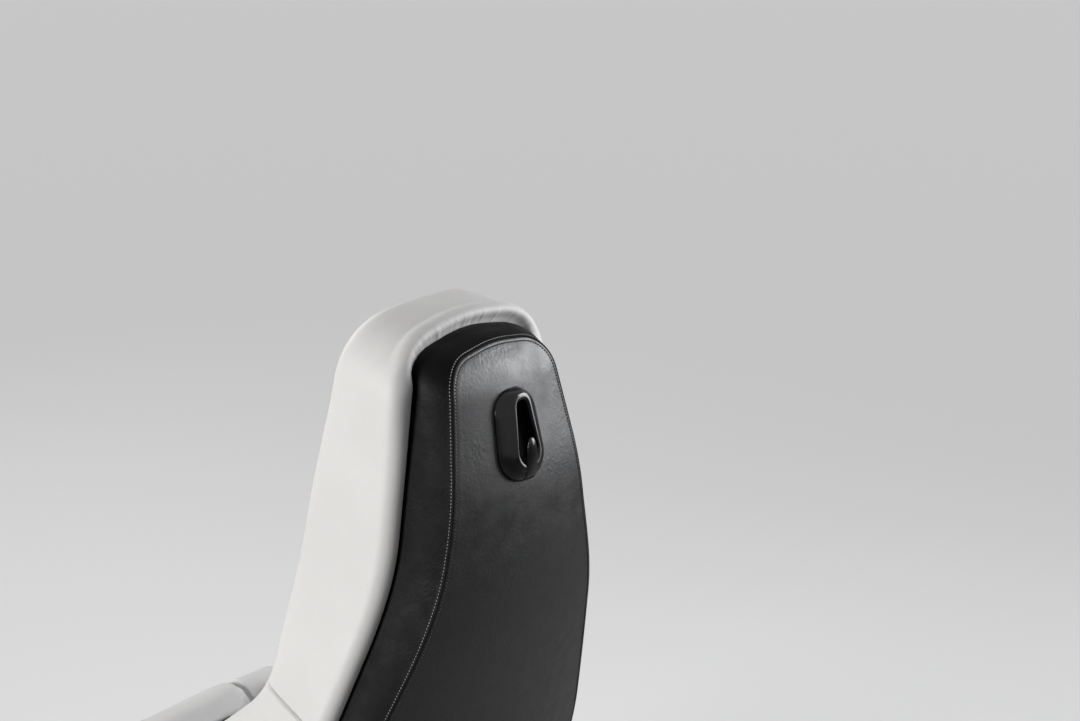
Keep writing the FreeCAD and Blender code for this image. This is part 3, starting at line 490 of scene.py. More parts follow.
def band_section(topness):
    """Rows of one ring of the band, where topness goes from 0 at the sides to 1 over the top."""
    s = shape()
    brow = s.brow
    roll = s.roll
    puff = s.puff
    rows = list(INSERT_SEAM)
    for k in range(1, FACE_STEPS):
        t = k / FACE_STEPS
        into = -FACE_SINK * (1 - t) + (brow - puff) * t
        back = FACE_PUFF - (FACE_PUFF + puff) * math.sin(t * math.pi / 2)
        rows.append((1 - t, into, 0.0, back))
    for k in range(BROW_STEPS + 1):
        a = math.pi / 2 * k / BROW_STEPS
        rows.append((0.0, brow * (1 - math.sin(a)) - puff, 0.0, brow * (1 - math.cos(a)) - puff))
    for k in range(1, SIDE_STEPS):
        t = k / SIDE_STEPS
        hollow = 0.0008 * topness * math.sin(math.pi * t) ** 2
        into = -puff * (1 - t * t * topness * 0.5) - 0.001 * math.sin(math.pi * t) + hollow
        rows.append((0.0, into, t, (brow - puff) * (1 - t) - roll * t))
    side = [(EDGE_WIDTH * roll * (1 - math.cos(a)) - puff * math.cos(a), roll * (math.sin(a) - 1))
            for a in np.linspace(0, math.pi / 2, 12)]
    side = evenly(np.array(side + list(SIDE_GROOVE)), EDGE_POINTS)
    top = evenly(np.array([(-0.0020, -roll)] + list(TOP_RIDGE)), EDGE_POINTS)
    mixed = (1 - topness) * side + topness * top
    rows += [(0.0, into, 1.0, back) for into, back in mixed]
    return np.array(rows + list(INNER_WALL))


def insert_edge(outer):
    """The insert's seam opposite each point of the outline: up the sides, and round a cap at the top."""
    inner = np.stack((np.sign(outer[:, 0]) * insert_half(outer[:, 1]), outer[:, 1]), axis=-1)
    near = int(np.argmax(outer[:, 1] > CAP_TURN))
    far = len(outer) - 1 - near
    turn_half = insert_half(CAP_TURN)
    cap = rounded([
        (turn_half, CAP_TURN, 0), (INSERT_TOP_HALF, INSERT_TOP, CAP_ROUND),
        (-INSERT_TOP_HALF, INSERT_TOP, CAP_ROUND), (-turn_half, CAP_TURN, 0)])
    inner[near:far + 1] = evenly(cap, far + 1 - near)
    return inner


def band_stations():
    """Rings of the whole band, from the left hem over the top to the right hem."""
    s = shape()
    run = softened(back_run(0.0, 0.0, s.hem_height, s.hem_half), BAND_EASE)
    places = np.linspace(0.0, along(run)[-1], BAND_RINGS)
    outer = at(run, places)
    beside = np.abs(outer[:, 0])
    height = outer[:, 1]
    arm = insert_edge(outer) - outer
    window = 2 * ARM_EASE + 1
    for k in range(2):
        arm[:, k] = np.convolve(np.pad(arm[:, k], ARM_EASE, mode="edge"), np.ones(window) / window, "valid")
    depth = np.linalg.norm(arm, axis=1)
    arm /= depth[:, None]
    # Where the section changes to the top's, where the sides flare under it, and how full the shoulders are
    tops = smooth(height, 0.976, 1.012)
    crowning = smooth(height, 0.975, 1.03) * (1 - 0.5 * smooth(beside, 0.0, 0.08))
    flares = 0.0046 * smooth(height, 0.88, 0.97) * (1 - crowning)
    shoulders = smooth(height, 0.93, 1.0) * (
        0.0006 + 0.0046 * smooth(beside, 0.0, 0.06) - 0.0020 * smooth(beside, 0.06, 0.11))
    grid = []
    for point, way, deep, top, flare, full in zip(outer, arm, depth, tops, flares, shoulders):
        share_in, offset_in, share_back, offset_back = band_section(float(top)).T
        into = share_in * deep + offset_in
        into = into - flare * share_back * np.clip(1 - offset_in / s.roll, 0, 1) * (share_in == 0)
        into = into - full * (1 - share_in) ** 2 * (1 - share_back)
        xz = point + way * into[:, None]
        z = xz[:, 1]
        y = (1 - share_back) * front_y(z) + share_back * groove_y(z) + offset_back
        grid.append(np.stack((xz[:, 0], y, z), axis=-1))
    return places, np.array(grid)


def seam_places(places, grid):
    """Where each column of the band crosses the sloped seam, as a distance from the hem."""
    s = shape()
    half = len(grid) // 2
    out = []
    for column in range(grid.shape[1]):
        y = grid[:half, column, 1]
        z = grid[:half, column, 2]
        over = z - (s.seam_height - (y - SEAM_PLACE) * SEAM_SLOPE)
        k = int(np.argmax(over > 0))
        share = -over[k - 1] / (over[k] - over[k - 1])
        out.append(places[k - 1] + share * (places[k] - places[k - 1]))
    return np.array(out)


def stretch(places, grid, starts, ends, count):
    """Part of the band, with each column cut between its own start and end."""
    out = np.zeros((count, grid.shape[1], 3))
    shares = np.linspace(0, 1, count)
    for column in range(grid.shape[1]):
        cuts = starts[column] + (ends[column] - starts[column]) * shares
        for k in range(3):
            out[:, column, k] = np.interp(cuts, places, grid[:, column, k])
    return out


def cove_puckers(grid):
    """Fine gathers in the cove under the hood's rear ridge."""
    out = grid.copy()
    phases = np.random.default_rng(PUCKER_SEED).uniform(0, 2 * math.pi, len(PUCKER_WAVES))
    for i in range(len(grid)):
        x = float(grid[i, RIDGE_COLUMN, 0])
        wave = sum(math.sin(2 * math.pi * x / w + p) for w, p in zip(PUCKER_WAVES, phases))
        top = smooth(float(grid[i, RIDGE_COLUMN, 2]), 0.985, 1.005)
        for j in range(COVE_START, COVE_END):
            share = math.sin(math.pi * (j - COVE_START) / (COVE_END - COVE_START))
            out[i, j, 1] += PUCKER_DEPTH * wave * share * top
    return out


def hood_piece():
    places, grid = band_stations()
    seam = seam_places(places, grid)
    part = stretch(places, grid, seam + SEAM_GAP, places[-1] - seam - SEAM_GAP, HOOD_RINGS)
    return tube("hood_leather", cove_puckers(drawn_in(part, (SEAM_ROUND, SEAM_ROUND))))


def bolster_piece(side, sign):
    places, grid = band_stations()
    seam = seam_places(places, grid)
    part = stretch(places, grid, np.zeros(grid.shape[1]), seam - SEAM_GAP, BOLSTER_RINGS)
    part = drawn_in(part, (HEM_ROUND, SEAM_ROUND))
    if sign < 0:
        part = part * np.array((-1.0, 1.0, 1.0))
    return tube("back_bolster_leather_" + side, part)


# Black shell and rear panel

RING_POINTS = 420
SHELL_LOW = 0.245
SHELL_TOP_IN = 0.018
SHELL_HEM_IN = 0.006
PANEL_LOW = 0.275
PANEL_HEM_IN = 0.002
PANEL_CORNER = (0.0785, 0.9995, 0.046)
PANEL_TOP = 1.0105
LOW_ROUND = 0.030
LOW_SAG = 0.004
LINE_EASE = 0.008
SHELL_BULGE = 0.0022
BULGE_END = 0.95
SHELL_FLOOR = 0.0075

# Shell between groove and seam. Columns: share of the way to the seam, distance back, share of the way
# from the groove's depth to the rear face.
SHELL_ROWS = (
    (0.10, -0.0130, 0.0), (0.03, -0.0110, 0.0), (0.004, -0.0060, 0.0), (0.0, -0.0010, 0.0),
    (0.004, 0.0006, 0.0), (0.03, 0.0016, 0.0), (0.10, 0.0, 0.10), (0.25, 0.0, 0.25), (0.40, 0.0, 0.40),
    (0.55, 0.0, 0.55), (0.70, 0.0, 0.70), (0.82, 0.0, 0.82), (0.90, 0.0, 0.90), (0.945, 0.0009, 0.945),
    (0.972, 0.0012, 0.975), (0.990, 0.0005, 0.990), (1.0, -0.0020, 1.0), (1.01, -0.0065, 1.0))

# Edge of the rear panel with the shallow groove of its inner stitches. Columns: distance in, distance under.
PANEL_EDGE = (
    (0.0012, 0.0058), (0.0002, 0.0030), (0.0004, 0.0011), (0.0010, 0.0002), (0.0018, 0.0), (0.0028, -0.0001),
    (0.0034, 0.0001), (0.0040, 0.0003), (0.0046, 0.0001), (0.0054, 0.0), (0.0072, -0.0001), (0.0105, 0.0))


def sagging_ring(run, low):
    """Evenly spaced points of a closed outline whose lower edge hangs in a slight curve."""
    ring = closed_ring(softened(run, LINE_EASE), RING_POINTS)
    ring[:, 1] -= LOW_SAG * np.clip(1 - (ring[:, 0] / 0.2) ** 2, 0, 1) * (ring[:, 1] < low + 0.02)
    return ring


def shell_ring():
    """The shell's edge in the groove."""
    s = shape()
    return sagging_ring(
        back_run(s.shell_inset, SHELL_TOP_IN, SHELL_LOW, s.hem_half - SHELL_HEM_IN, LOW_ROUND), SHELL_LOW)


def seam_ring():
    """The rear panel's seam."""
    s = shape()
    inset = s.panel_inset
    low = (0.0, PANEL_LOW, 0)
    corners = mirrored([
        (s.hem_half - PANEL_HEM_IN - inset, PANEL_LOW, LOW_ROUND),
        (s.waist_half - inset, s.waist_height, WAIST_ROUND),
        (s.neck_half - inset, s.neck_height, NECK_ROUND), PANEL_CORNER], (0.0, PANEL_TOP, CROWN_ROUND))
    return sagging_ring(rounded([low] + corners + [low]), PANEL_LOW)


def standing(xz, y):
    """A ring's points in space, from its outline and its places along Y."""
    return np.stack((xz[:, 0], y, xz[:, 1]), axis=-1)


def shell_piece():
    outer = shell_ring()
    seam = seam_ring()
    rear = rear_surface(seam[:, 0], seam[:, 1])
    groove = groove_y(outer[:, 1])
    rings = []
    for share, offset, deep in SHELL_ROWS:
        bulge = SHELL_BULGE * math.sin(math.pi * min(deep / BULGE_END, 1.0))
        xz = outer * (1 - share) + seam * share - inward(outer) * bulge
        rings.append(standing(xz, groove + (rear - groove) * deep + offset))
    return disc("back_shell_leather", np.array(rings), 8, lambda x, z: rear_surface(x, z) - SHELL_FLOOR)


def panel_piece():
    seam = seam_ring()
    rings = []
    for into, under in PANEL_EDGE:
        xz = seam + inward(seam) * into
        rings.append(standing(xz, rear_surface(xz[:, 0], xz[:, 1]) - under))
    return disc("rear_panel_leather", np.array(rings), 64, rear_surface)


# Stitches

THREAD_LIFT = 0.0002
OUTER_LIFT = 0.0006
THREAD_SHARE = 0.45


def stitch_rows():
    """The two rows of stitches: on the panel, and on the shell's wall beside it."""
    off = bpy.context.scene.seat_stitch.offset
    seam = seam_ring()
    outer = shell_ring()
    on_panel = seam + inward(seam) * off
    panel_row = standing(on_panel, rear_surface(on_panel[:, 0], on_panel[:, 1]) + THREAD_LIFT)
    wall = outer - seam
    rear = rear_surface(seam[:, 0], seam[:, 1])
    groove = groove_y(outer[:, 1])
    share = off / np.hypot(np.linalg.norm(wall, axis=1), rear - groove)
    on_wall = seam + wall * share[:, None] - inward(outer) * OUTER_LIFT
    wall_row = standing(on_wall, rear + (groove - rear) * share + OUTER_LIFT)
    return panel_row, wall_row


def stitch_tree():
    """Geometry Nodes: short threads laid along a row."""
    tree = bpy.data.node_groups.new("stitch_row", "GeometryNodeTree")
    face = tree.interface
    face.new_socket("Row", in_out="INPUT", socket_type="NodeSocketGeometry")
    for name, kind, value in (("Pitch", "NodeSocketFloat", 0.0038), ("Length", "NodeSocketFloat", 0.0017),
                              ("Thread", "NodeSocketFloat", 0.0005), ("Sides", "NodeSocketInt", 5)):
        face.new_socket(name, in_out="INPUT", socket_type=kind).default_value = value
    face.new_socket("Finish", in_out="INPUT", socket_type="NodeSocketMaterial")
    face.new_socket("Stitches", in_out="OUTPUT", socket_type="NodeSocketGeometry")
    given = put(tree, "NodeGroupInput").outputs
    spaced = put(tree, "GeometryNodeResampleCurve", {
        "Curve": given["Row"], "Length": given["Pitch"]}, mode="LENGTH")
    tangent = put(tree, "GeometryNodeInputTangent")
    turn = put(tree, "FunctionNodeAlignRotationToVector", {"Vector": tangent.outputs["Tangent"]}, axis="X")
    half = maths(tree, "MULTIPLY", given["Length"], 0.5)
    first = put(tree, "ShaderNodeCombineXYZ", {"X": maths(tree, "MULTIPLY", half, -1.0)})
    last = put(tree, "ShaderNodeCombineXYZ", {"X": half})
    thread = put(tree, "GeometryNodeCurveQuadraticBezier", {
        "Resolution": 5, "Start": first.outputs[0], "Middle": (0.0, 0.0, 0.0), "End": last.outputs[0]})
    circle = put(tree, "GeometryNodeCurvePrimitiveCircle", {
        "Resolution": given["Sides"], "Radius": given["Thread"]})
    swept = put(tree, "GeometryNodeCurveToMesh", {
        "Curve": thread.outputs["Curve"], "Profile Curve": circle.outputs["Curve"], "Fill Caps": True})
    placed = put(tree, "GeometryNodeInstanceOnPoints", {
        "Points": spaced.outputs["Curve"], "Instance": swept.outputs["Mesh"],
        "Rotation": turn.outputs["Rotation"]})
    real = put(tree, "GeometryNodeRealizeInstances", {"Geometry": placed.outputs["Instances"]})
    coat = put(tree, "GeometryNodeSetMaterial", {
        "Geometry": real.outputs["Geometry"], "Material": given["Finish"]})
    put(tree, "NodeGroupOutput", {"Stitches": coat.outputs["Geometry"]})
    return tree


def stitched(name, row, thread, tree, material):
    """Stitches along a closed row of points, as one plain mesh."""
    t = bpy.context.scene.seat_stitch
    curve = bpy.data.curves.new(name, "CURVE")
    curve.dimensions = "3D"
    spline = curve.splines.new("POLY")
    spline.points.add(len(row) - 1)
    for k, point in enumerate(row):
        spline.points[k].co = (*point, 1.0)
    spline.use_cyclic_u = True
    guide = bpy.data.objects.new(name + "_row", curve)
    bpy.context.scene.collection.objects.link(guide)
    modifier = guide.modifiers.new("stitches", "NODES")
    modifier.node_group = tree
    values = {"Pitch": t.pitch, "Length": t.pitch * THREAD_SHARE, "Thread": thread, "Sides": t.sides,
              "Finish": material}
    for item in tree.interface.items_tree:
        if item.item_type == "SOCKET" and item.in_out == "INPUT" and item.name in values:
            modifier[item.identifier] = values[item.name]
    piece = bpy.data.objects.new(name, as_shown(guide))
    bpy.data.objects.remove(guide)
    bpy.context.scene.collection.objects.link(piece)
    return wear(piece, material, "back", "black_leather")


# Coat hook

# Outlines seen from behind. Columns: half width low, half width high, lower end, upper end.
HOOK_BASE = (0.0385, 0.0300, 0.8555, 0.9600)
HOOK_FACE = (0.0232, 0.0145, 0.8690, 0.9575)
HOOK_HOLE = (0.0172, 0.0075, 0.8790, 0.9490)
HOOK_FLOOR = (0.0150, 0.0060, 0.8820, 0.9460)

# Sections between two outlines. Columns: share of the way, distance out from the rear panel.
HOOK_FLANK = ((0.0, -0.004), (0.0, 0.0), (0.06, 0.0030), (0.18, 0.0060), (0.36, 0.0090), (0.56, 0.0112),
              (0.76, 0.0124), (0.90, 0.0128), (0.97, 0.0134), (1.0, 0.0142))
HOOK_RIM = ((0.10, 0.0149), (0.26, 0.0154), (0.46, 0.0156), (0.66, 0.0155), (0.82, 0.0150), (0.93, 0.0141),
            (1.0, 0.0122))
HOOK_WALL = ((0.4, 0.0080), (0.8, 0.0042), (1.0, 0.0032))
HOOK_FLOOR_OUT = 0.0030
HOOK_POINTS = 96

# The recess wears a dull black that reflects almost nothing, as painted shade in the recess. Its faces are
# those within these limits.
RECESS_OUT = 0.0118
RECESS_HALF = 0.0168
RECESS_LOW = 0.880
RECESS_HIGH = 0.950

# The tongue, bent away from the recess. Columns: height, distance out, half width, thickness.
TONGUE = (
    (0.860, 0.0085, 0.0086, 0.0044), (0.866, 0.0118, 0.0092, 0.0050), (0.874, 0.0146, 0.0092, 0.0054),
    (0.883, 0.0168, 0.0088, 0.0054), (0.892, 0.0186, 0.0080, 0.0050), (0.899, 0.0197, 0.0070, 0.0045),
    (0.9045, 0.0203, 0.0056, 0.0037), (0.9075, 0.0205, 0.0040, 0.0027), (0.9090, 0.0204, 0.0018, 0.0012))
TONGUE_POINTS = 28


def egg(half_low, half_top, low, high):
    """A closed upright egg, from the lower middle round by the right."""
    low_round = 0.85 * half_low
    top_round = 0.9 * half_top
    run = rounded([(0.0, low, 0), (half_low, low, low_round), (half_top, high, top_round),
                   (-half_top, high, top_round), (-half_low, low, low_round), (0.0, low, 0)], 0.001)
    return closed_ring(softened(run, 0.004, closed=True), HOOK_POINTS)


def hook_piece():
    base, face, hole, floor = (egg(*sizes) for sizes in (HOOK_BASE, HOOK_FACE, HOOK_HOLE, HOOK_FLOOR))
    rings = []
    for outer, inner, section in ((base, face, HOOK_FLANK), (face, hole, HOOK_RIM), (hole, floor, HOOK_WALL)):
        for share, out in section:
            xz = outer * (1 - share) + inner * share
            rings.append(standing(xz, rear_surface(xz[:, 0], xz[:, 1]) + out))
    return disc("coat_hook_housing", np.array(rings), 12, lambda x, z: rear_surface(x, z) + HOOK_FLOOR_OUT)


def in_recess(place):
    return (place.y < rear_surface(place.x, place.z) + RECESS_OUT and abs(place.x) < RECESS_HALF
            and RECESS_LOW < place.z < RECESS_HIGH)


def darken(piece, material, inside):
    """Gives the faces whose centres pass a test a second material."""
    piece.data.materials.append(material)
    for face in piece.data.polygons:
        if inside(face.center):
            face.material_index = 1


def tongue_piece():
    turns = 2 * math.pi * np.arange(TONGUE_POINTS) / TONGUE_POINTS
    rings = []
    for z, out, half, thick in TONGUE:
        y = float(rear_surface(0.0, z)) + out + thick * np.sin(turns) * 0.5
        rings.append(np.stack((half * np.cos(turns), y, np.full(TONGUE_POINTS, z)), axis=-1))
    return tube("coat_hook_tongue", np.array(rings))


# Pads: crowned closed forms, filled by cloth simulation, then quilted

# Evened mesh and cloth simulation that fill a pad
PAD_VOXEL = 0.005
PAD_FRAMES = 20
PAD_CLOTH = {
    "quality": 6, "mass": 0.3, "tension_stiffness": 15, "compression_stiffness": 15, "shear_stiffness": 5,
    "bending_stiffness": 1.5, "use_pressure": True, "uniform_pressure_force": 4.0}

# Sewn channels: width and depth
LONG_CHANNEL = (0.0045, 0.008)
CROSS_CHANNEL = (0.0045, 0.006)
TUCK_CHANNEL = (0.004, 0.006)

# Inserts of backrest and head: over is how far the front stands over the seam, a pull is how deep and how far
# an end's seam draws the leather in, edge is the depth and power of its fall towards the sides.
BACK_INSERT = {
    "low": 0.294, "high": 0.8365, "over": 0.0005, "crown": 0.006, "low_pull": (0.010, 0.012),
    "high_pull": (0.006, 0.008), "edge": (0.010, 12), "thick": 0.040, "columns": 61, "rows": 111}
HEAD_INSERT = {
    "low": 0.8395, "high": 0.9905, "over": 0.0, "crown": 0.005, "low_pull": (0.007, 0.010),
    "high_pull": (0.007, 0.010), "edge": (0.008, 10), "thick": 0.035, "columns": 49, "rows": 41}
HEAD_ROUND = 0.030
INSERT_CAP = 0.006

# Channels of the backrest: the long ones at a share of its half width, the cross ones from the lowest up
BACK_LONG_SHARE = 0.62
BACK_CROSS_LOW = 0.352
BACK_CROSS_PITCH = 0.070
BACK_CROSS_COUNT = 7

# Seat cushion, and its channels from the front rearwards
PAD_REAR = 0.162
PAD_FRONT = -0.222
PAD_UNDER = 0.2035
PAD_HALF = 0.1505
PAD_HALF_UNDER = 0.149
SEAT_LONG_PLACE = 0.096
SEAT_CROSS_FRONT = -0.166
SEAT_CROSS_PITCH = 0.066
SEAT_CROSS_COUNT = 5
SEAT_CAP = 0.006

# Thigh roll
ROLL_HALF = 0.2405
ROLL_PLACE = -0.2632
ROLL_DEPTH = 0.0355
ROLL_TOP = 0.311
ROLL_LOW = 0.204
ROLL_SEAM = 0.150
ROLL_POWER = 3.2
SWEPT_CAP = 0.005

# Seat bolster: places of its inner wall, ridge, outer wall and underside
WING_INNER = 0.1545
WING_RIDGE = 0.196
WING_OUTER = 0.2425
WING_LOW = 0.2040
WING_END_GAP = 0.0005


def pillow(name, front, rear, columns, rows):
    """A closed pad: front(u, v) and rear(u, v) give its points, u from -1 to 1 and v from 0 to 1."""
    verts = []
    for face in (front, rear):
        for v in np.linspace(0, 1, rows):
            verts += [face(u, v) for u in np.linspace(-1, 1, columns)]
    size = columns * rows
    faces = []
    for base in (0, size):
        for i in range(rows - 1):
            for j in range(columns - 1):
                k = base + i * columns + j
                faces.append((k, k + 1, k + columns + 1, k + columns))
    rim = list(range(columns))
    rim += [i * columns + columns - 1 for i in range(1, rows)]
    rim += [(rows - 1) * columns + j for j in range(columns - 2, -1, -1)]
    rim += [i * columns for i in range(rows - 2, 0, -1)]
    faces += [(k, n, size + n, size + k) for k, n in zip(rim, rim[1:] + rim[:1])]
    return turn_outwards(make_object(name, verts, faces))


def filled(piece, cap):
    """Swells a pad by cloth simulation under pressure, and keeps it within a cap of its first shape."""
    remesh = piece.modifiers.new("remesh", "REMESH")
    remesh.mode = "VOXEL"
    remesh.voxel_size = PAD_VOXEL
    even = apply_modifiers(piece)
    start = coordinates(even)
    cloth = piece.modifiers.new("cloth", "CLOTH")
    for setting, value in PAD_CLOTH.items():
        setattr(cloth.settings, setting, value)
    cloth.settings.effector_weights.gravity = 0
    cloth.point_cache.frame_start = 1
    cloth.point_cache.frame_end = PAD_FRAMES
    for number in range(1, PAD_FRAMES + 1):
        bpy.context.scene.frame_set(number)
    swollen = as_shown(piece)
    move = coordinates(swollen) - start
    bpy.data.meshes.remove(swollen)
    piece.modifiers.clear()
    reach = np.linalg.norm(move, axis=1, keepdims=True)
    move *= np.minimum(1.0, cap / np.maximum(reach, 1e-9))
    even.vertices.foreach_set("co", (start + move).ravel())
    bpy.context.scene.frame_set(1)
    fine = piece.modifiers.new("fine", "SUBSURF")
    fine.levels = 1
    fine.render_levels = 1
    smoothed = apply_modifiers(piece)
    smoothed.polygons.foreach_set("use_smooth", [True] * len(smoothed.polygons))
    return piece


def pressed(piece, depth_at, axis):
    """Moves every point that faces an axis against it by depth_at(points), for sewn channels."""
    mesh = piece.data
    points = coordinates(mesh)
    facing = np.clip(coordinates(mesh, "normal") @ np.array(axis), 0, 1)
    points -= np.array(axis) * (depth_at(points) * smooth(facing, 0.2, 0.7))[:, None]
    mesh.vertices.foreach_set("co", points.ravel())
    mesh.update()
    return piece


def channel(distance, width, depth):
    """Depth of a sewn channel at a distance from its seam."""
    return depth * np.exp(-(distance / width) ** 2)


def insert_pad(name, half_at, low, high, over, crown, low_pull, high_pull, edge, thick, columns, rows):
    """A black insert: a crowned front drawn in at its seams, and a plain rear."""
    def front(u, v):
        z = low + (high - low) * v
        deep, far = low_pull if v < 0.5 else high_pull
        pull = deep * math.exp(-min(v, 1 - v) * (high - low) / far)
        y = insert_y(z) - crown * (1 - u * u) + pull + edge[0] * abs(u) ** edge[1]
        return (u * (half_at(z) + over), float(y), z)

    def rear(u, v):
        z = low + (high - low) * v
        return (u * half_at(z) * 0.99, float(insert_y(z)) + thick, z)

    return filled(pillow(name, front, rear, columns, rows), INSERT_CAP)


def back_insert_piece():
    def quilt(p):
        half = insert_half(p[:, 2])
        share = np.abs(p[:, 0]) / half
        deep = channel((share - BACK_LONG_SHARE) * half, *LONG_CHANNEL)
        between = 1 - smooth(share, BACK_LONG_SHARE - 0.06, BACK_LONG_SHARE)
        for k in range(BACK_CROSS_COUNT):
            deep += channel(p[:, 2] - BACK_CROSS_LOW - BACK_CROSS_PITCH * k, *CROSS_CHANNEL) * between
        return deep

    return pressed(insert_pad("back_insert_leather", insert_half, **BACK_INSERT), quilt, (0, -1, 0))


def head_insert_piece():
    def half_at(z):
        over = max(0.0, z - (HEAD_INSERT["high"] - HEAD_ROUND))
        return insert_half(z) - HEAD_ROUND + math.sqrt(max(0.0, HEAD_ROUND ** 2 - over ** 2))

    return insert_pad("head_insert_leather", half_at, **HEAD_INSERT)


def seat_pad_piece():
    def top(u, v):
        y = PAD_FRONT + (PAD_REAR - PAD_FRONT) * v
        end = min(v, 1 - v) * (PAD_REAR - PAD_FRONT)
        z = cushion_z(y) - 0.001 + 0.005 * (1 - u * u)
        z -= 0.008 * math.exp(-end / 0.010) + 0.008 * abs(u) ** 12
        return (u * PAD_HALF, y, z)

    def under(u, v):
        return (u * PAD_HALF_UNDER, PAD_FRONT + (PAD_REAR - PAD_FRONT) * v, PAD_UNDER)

    def quilt(p):
        beside = np.abs(p[:, 0])
        deep = channel(beside - SEAT_LONG_PLACE, *LONG_CHANNEL)
        between = 1 - smooth(beside, SEAT_LONG_PLACE - 0.008, SEAT_LONG_PLACE)
        for k in range(SEAT_CROSS_COUNT):
            deep += channel(p[:, 1] - SEAT_CROSS_FRONT - SEAT_CROSS_PITCH * k, *CROSS_CHANNEL) * between
        return deep

    piece = filled(pillow("seat_cushion_leather", top, under, 57, 71), SEAT_CAP)
    return pressed(piece, quilt, (0, 0, 1))


def swept_pad(name, section, places, ends):
    """A pad from the rings that section gives at each place along it."""
    rings = np.array([section(float(place)) for place in places])
    return filled(tube(name, drawn_in(rings, ends)), SWEPT_CAP)


def superellipse(a, b, power, count):
    out = []
    for k in range(count):
        t = 2 * math.pi * k / count
        c, s = math.cos(t), math.sin(t)
        out.append((a * math.copysign(abs(c) ** (2 / power), c), b * math.copysign(abs(s) ** (2 / power), s)))
    return out


def thigh_roll_piece():
    def section(x):
        top = ROLL_TOP - 0.010 * smooth(abs(x), 0.10, 0.244)
        middle = (top + ROLL_LOW) / 2
        return [(x, ROLL_PLACE + a, middle + b + 0.002 * math.cos(a * 40))
                for a, b in superellipse(ROLL_DEPTH, (top - ROLL_LOW) / 2, ROLL_POWER, 48)]

    def tuck(p):
        return channel(np.abs(p[:, 0]) - ROLL_SEAM, *TUCK_CHANNEL)

    piece = swept_pad("thigh_roll_leather", section, np.linspace(-ROLL_HALF, ROLL_HALF, 91), (0.016, 0.016))
    return pressed(piece, tuck, (0, 0, 1))


def seat_bolster_piece(side, sign):
    def section(y):
        top = float(wing_z(y))
        start = (WING_INNER, 0.240, 0)
        ring = rounded([
            start, (WING_INNER, min(top - 0.002, 0.284), 0.008), (WING_RIDGE, top, 0.020),
            (WING_OUTER, top - 0.004, 0.018), (WING_OUTER, WING_LOW, 0.006), (WING_INNER, WING_LOW, 0.006),
            start], 0.001)
        return [(sign * x, y, z) for x, z in closed_ring(ring, 60)]

    places = np.linspace(PAD_FRONT + WING_END_GAP, PAD_REAR - WING_END_GAP, 77)
    return swept_pad("seat_bolster_leather_" + side, section, places, (0.014, 0.016))


# Finishes

def look_group(name, *own):
    """A group for a finish: place, colour and its own values in, colour, roughness and height out."""
    return new_group(
        name, (("Vector", "NodeSocketVector", (0, 0, 0)), ("Colour", "NodeSocketColor", (0.5, 0.5, 0.5, 1)),
               *((socket, "NodeSocketFloat", value) for socket, value in own)),
        (("Colour", "NodeSocketColor"), ("Roughness", "NodeSocketFloat"), ("Height", "NodeSocketFloat")))


def show(group, end, given, tone, rough, height):
    """Links a finish group's results: its colour times a tone, roughness and height."""
    shade = put(group, "ShaderNodeVectorMath", {0: given["Colour"], "Scale": tone}, operation="SCALE")
    group.links.new(shade.outputs[0], end.inputs["Colour"])
    group.links.new(rough, end.inputs["Roughness"])
    group.links.new(height, end.inputs["Height"])
    return group


def leather_group():
    """Pebbled leather."""
    group, given, end = look_group("leather_grain", ("Cells", 900.0), ("Roughness", 0.45), ("Wrinkle", 0.3))
    vector = given["Vector"]
    cells = put(group, "ShaderNodeTexVoronoi", {
        "Vector": warped(group, vector, 220.0, 1.0, 0.0022), "Scale": given["Cells"],
    }, feature="DISTANCE_TO_EDGE")
    pebble = ramped(group, cells.outputs["Distance"], 0.0, 0.22)
    soft = noise(group, vector, 46.0, 4.0)
    broad = noise(group, vector, 7.0, 2.0)
    fine = noise(group, vector, 2600.0, 2.0)
    wrinkle = maths(group, "MULTIPLY", soft, given["Wrinkle"])
    height = maths(group, "ADD", maths(group, "MULTIPLY", pebble, 0.5), wrinkle)
    height = maths(group, "ADD", height, maths(group, "MULTIPLY", fine, 0.08))
    tone = maths(group, "ADD", ramped(group, broad, 0.3, 0.7, 0.98, 1.02),
                 ramped(group, pebble, 0.0, 1.0, -0.05, 0.0))
    rough = maths(group, "ADD", given["Roughness"], ramped(group, soft, 0.25, 0.75, -0.05, 0.06))
    rough = maths(group, "ADD", rough, ramped(group, pebble, 0.0, 1.0, 0.08, 0.0))
    return show(group, end, given, tone, rough, height)


def crease_group():
    """Small dents and wrinkles of leather that is stretched over foam."""
    group, given, end = new_group(
        "creases", (("Vector", "NodeSocketVector", (0, 0, 0)), ("Dents", "NodeSocketFloat", 260.0)),
        (("Height", "NodeSocketFloat"),))
    place = warped(group, given["Vector"], 90.0, 2.0, 0.006)
    cells = put(group, "ShaderNodeTexVoronoi", {
        "Vector": place, "Scale": given["Dents"]}, feature="SMOOTH_F1")
    mask = ramped(group, noise(group, given["Vector"], 16.0, 3.0), 0.30, 0.70)
    dents = maths(group, "MULTIPLY", ramped(group, cells.outputs["Distance"], 0.15, 0.75), mask)
    fine = noise(group, place, 330.0, 3.0)
    group.links.new(maths(group, "ADD", dents, maths(group, "MULTIPLY", fine, 0.35)), end.inputs["Height"])
    return group


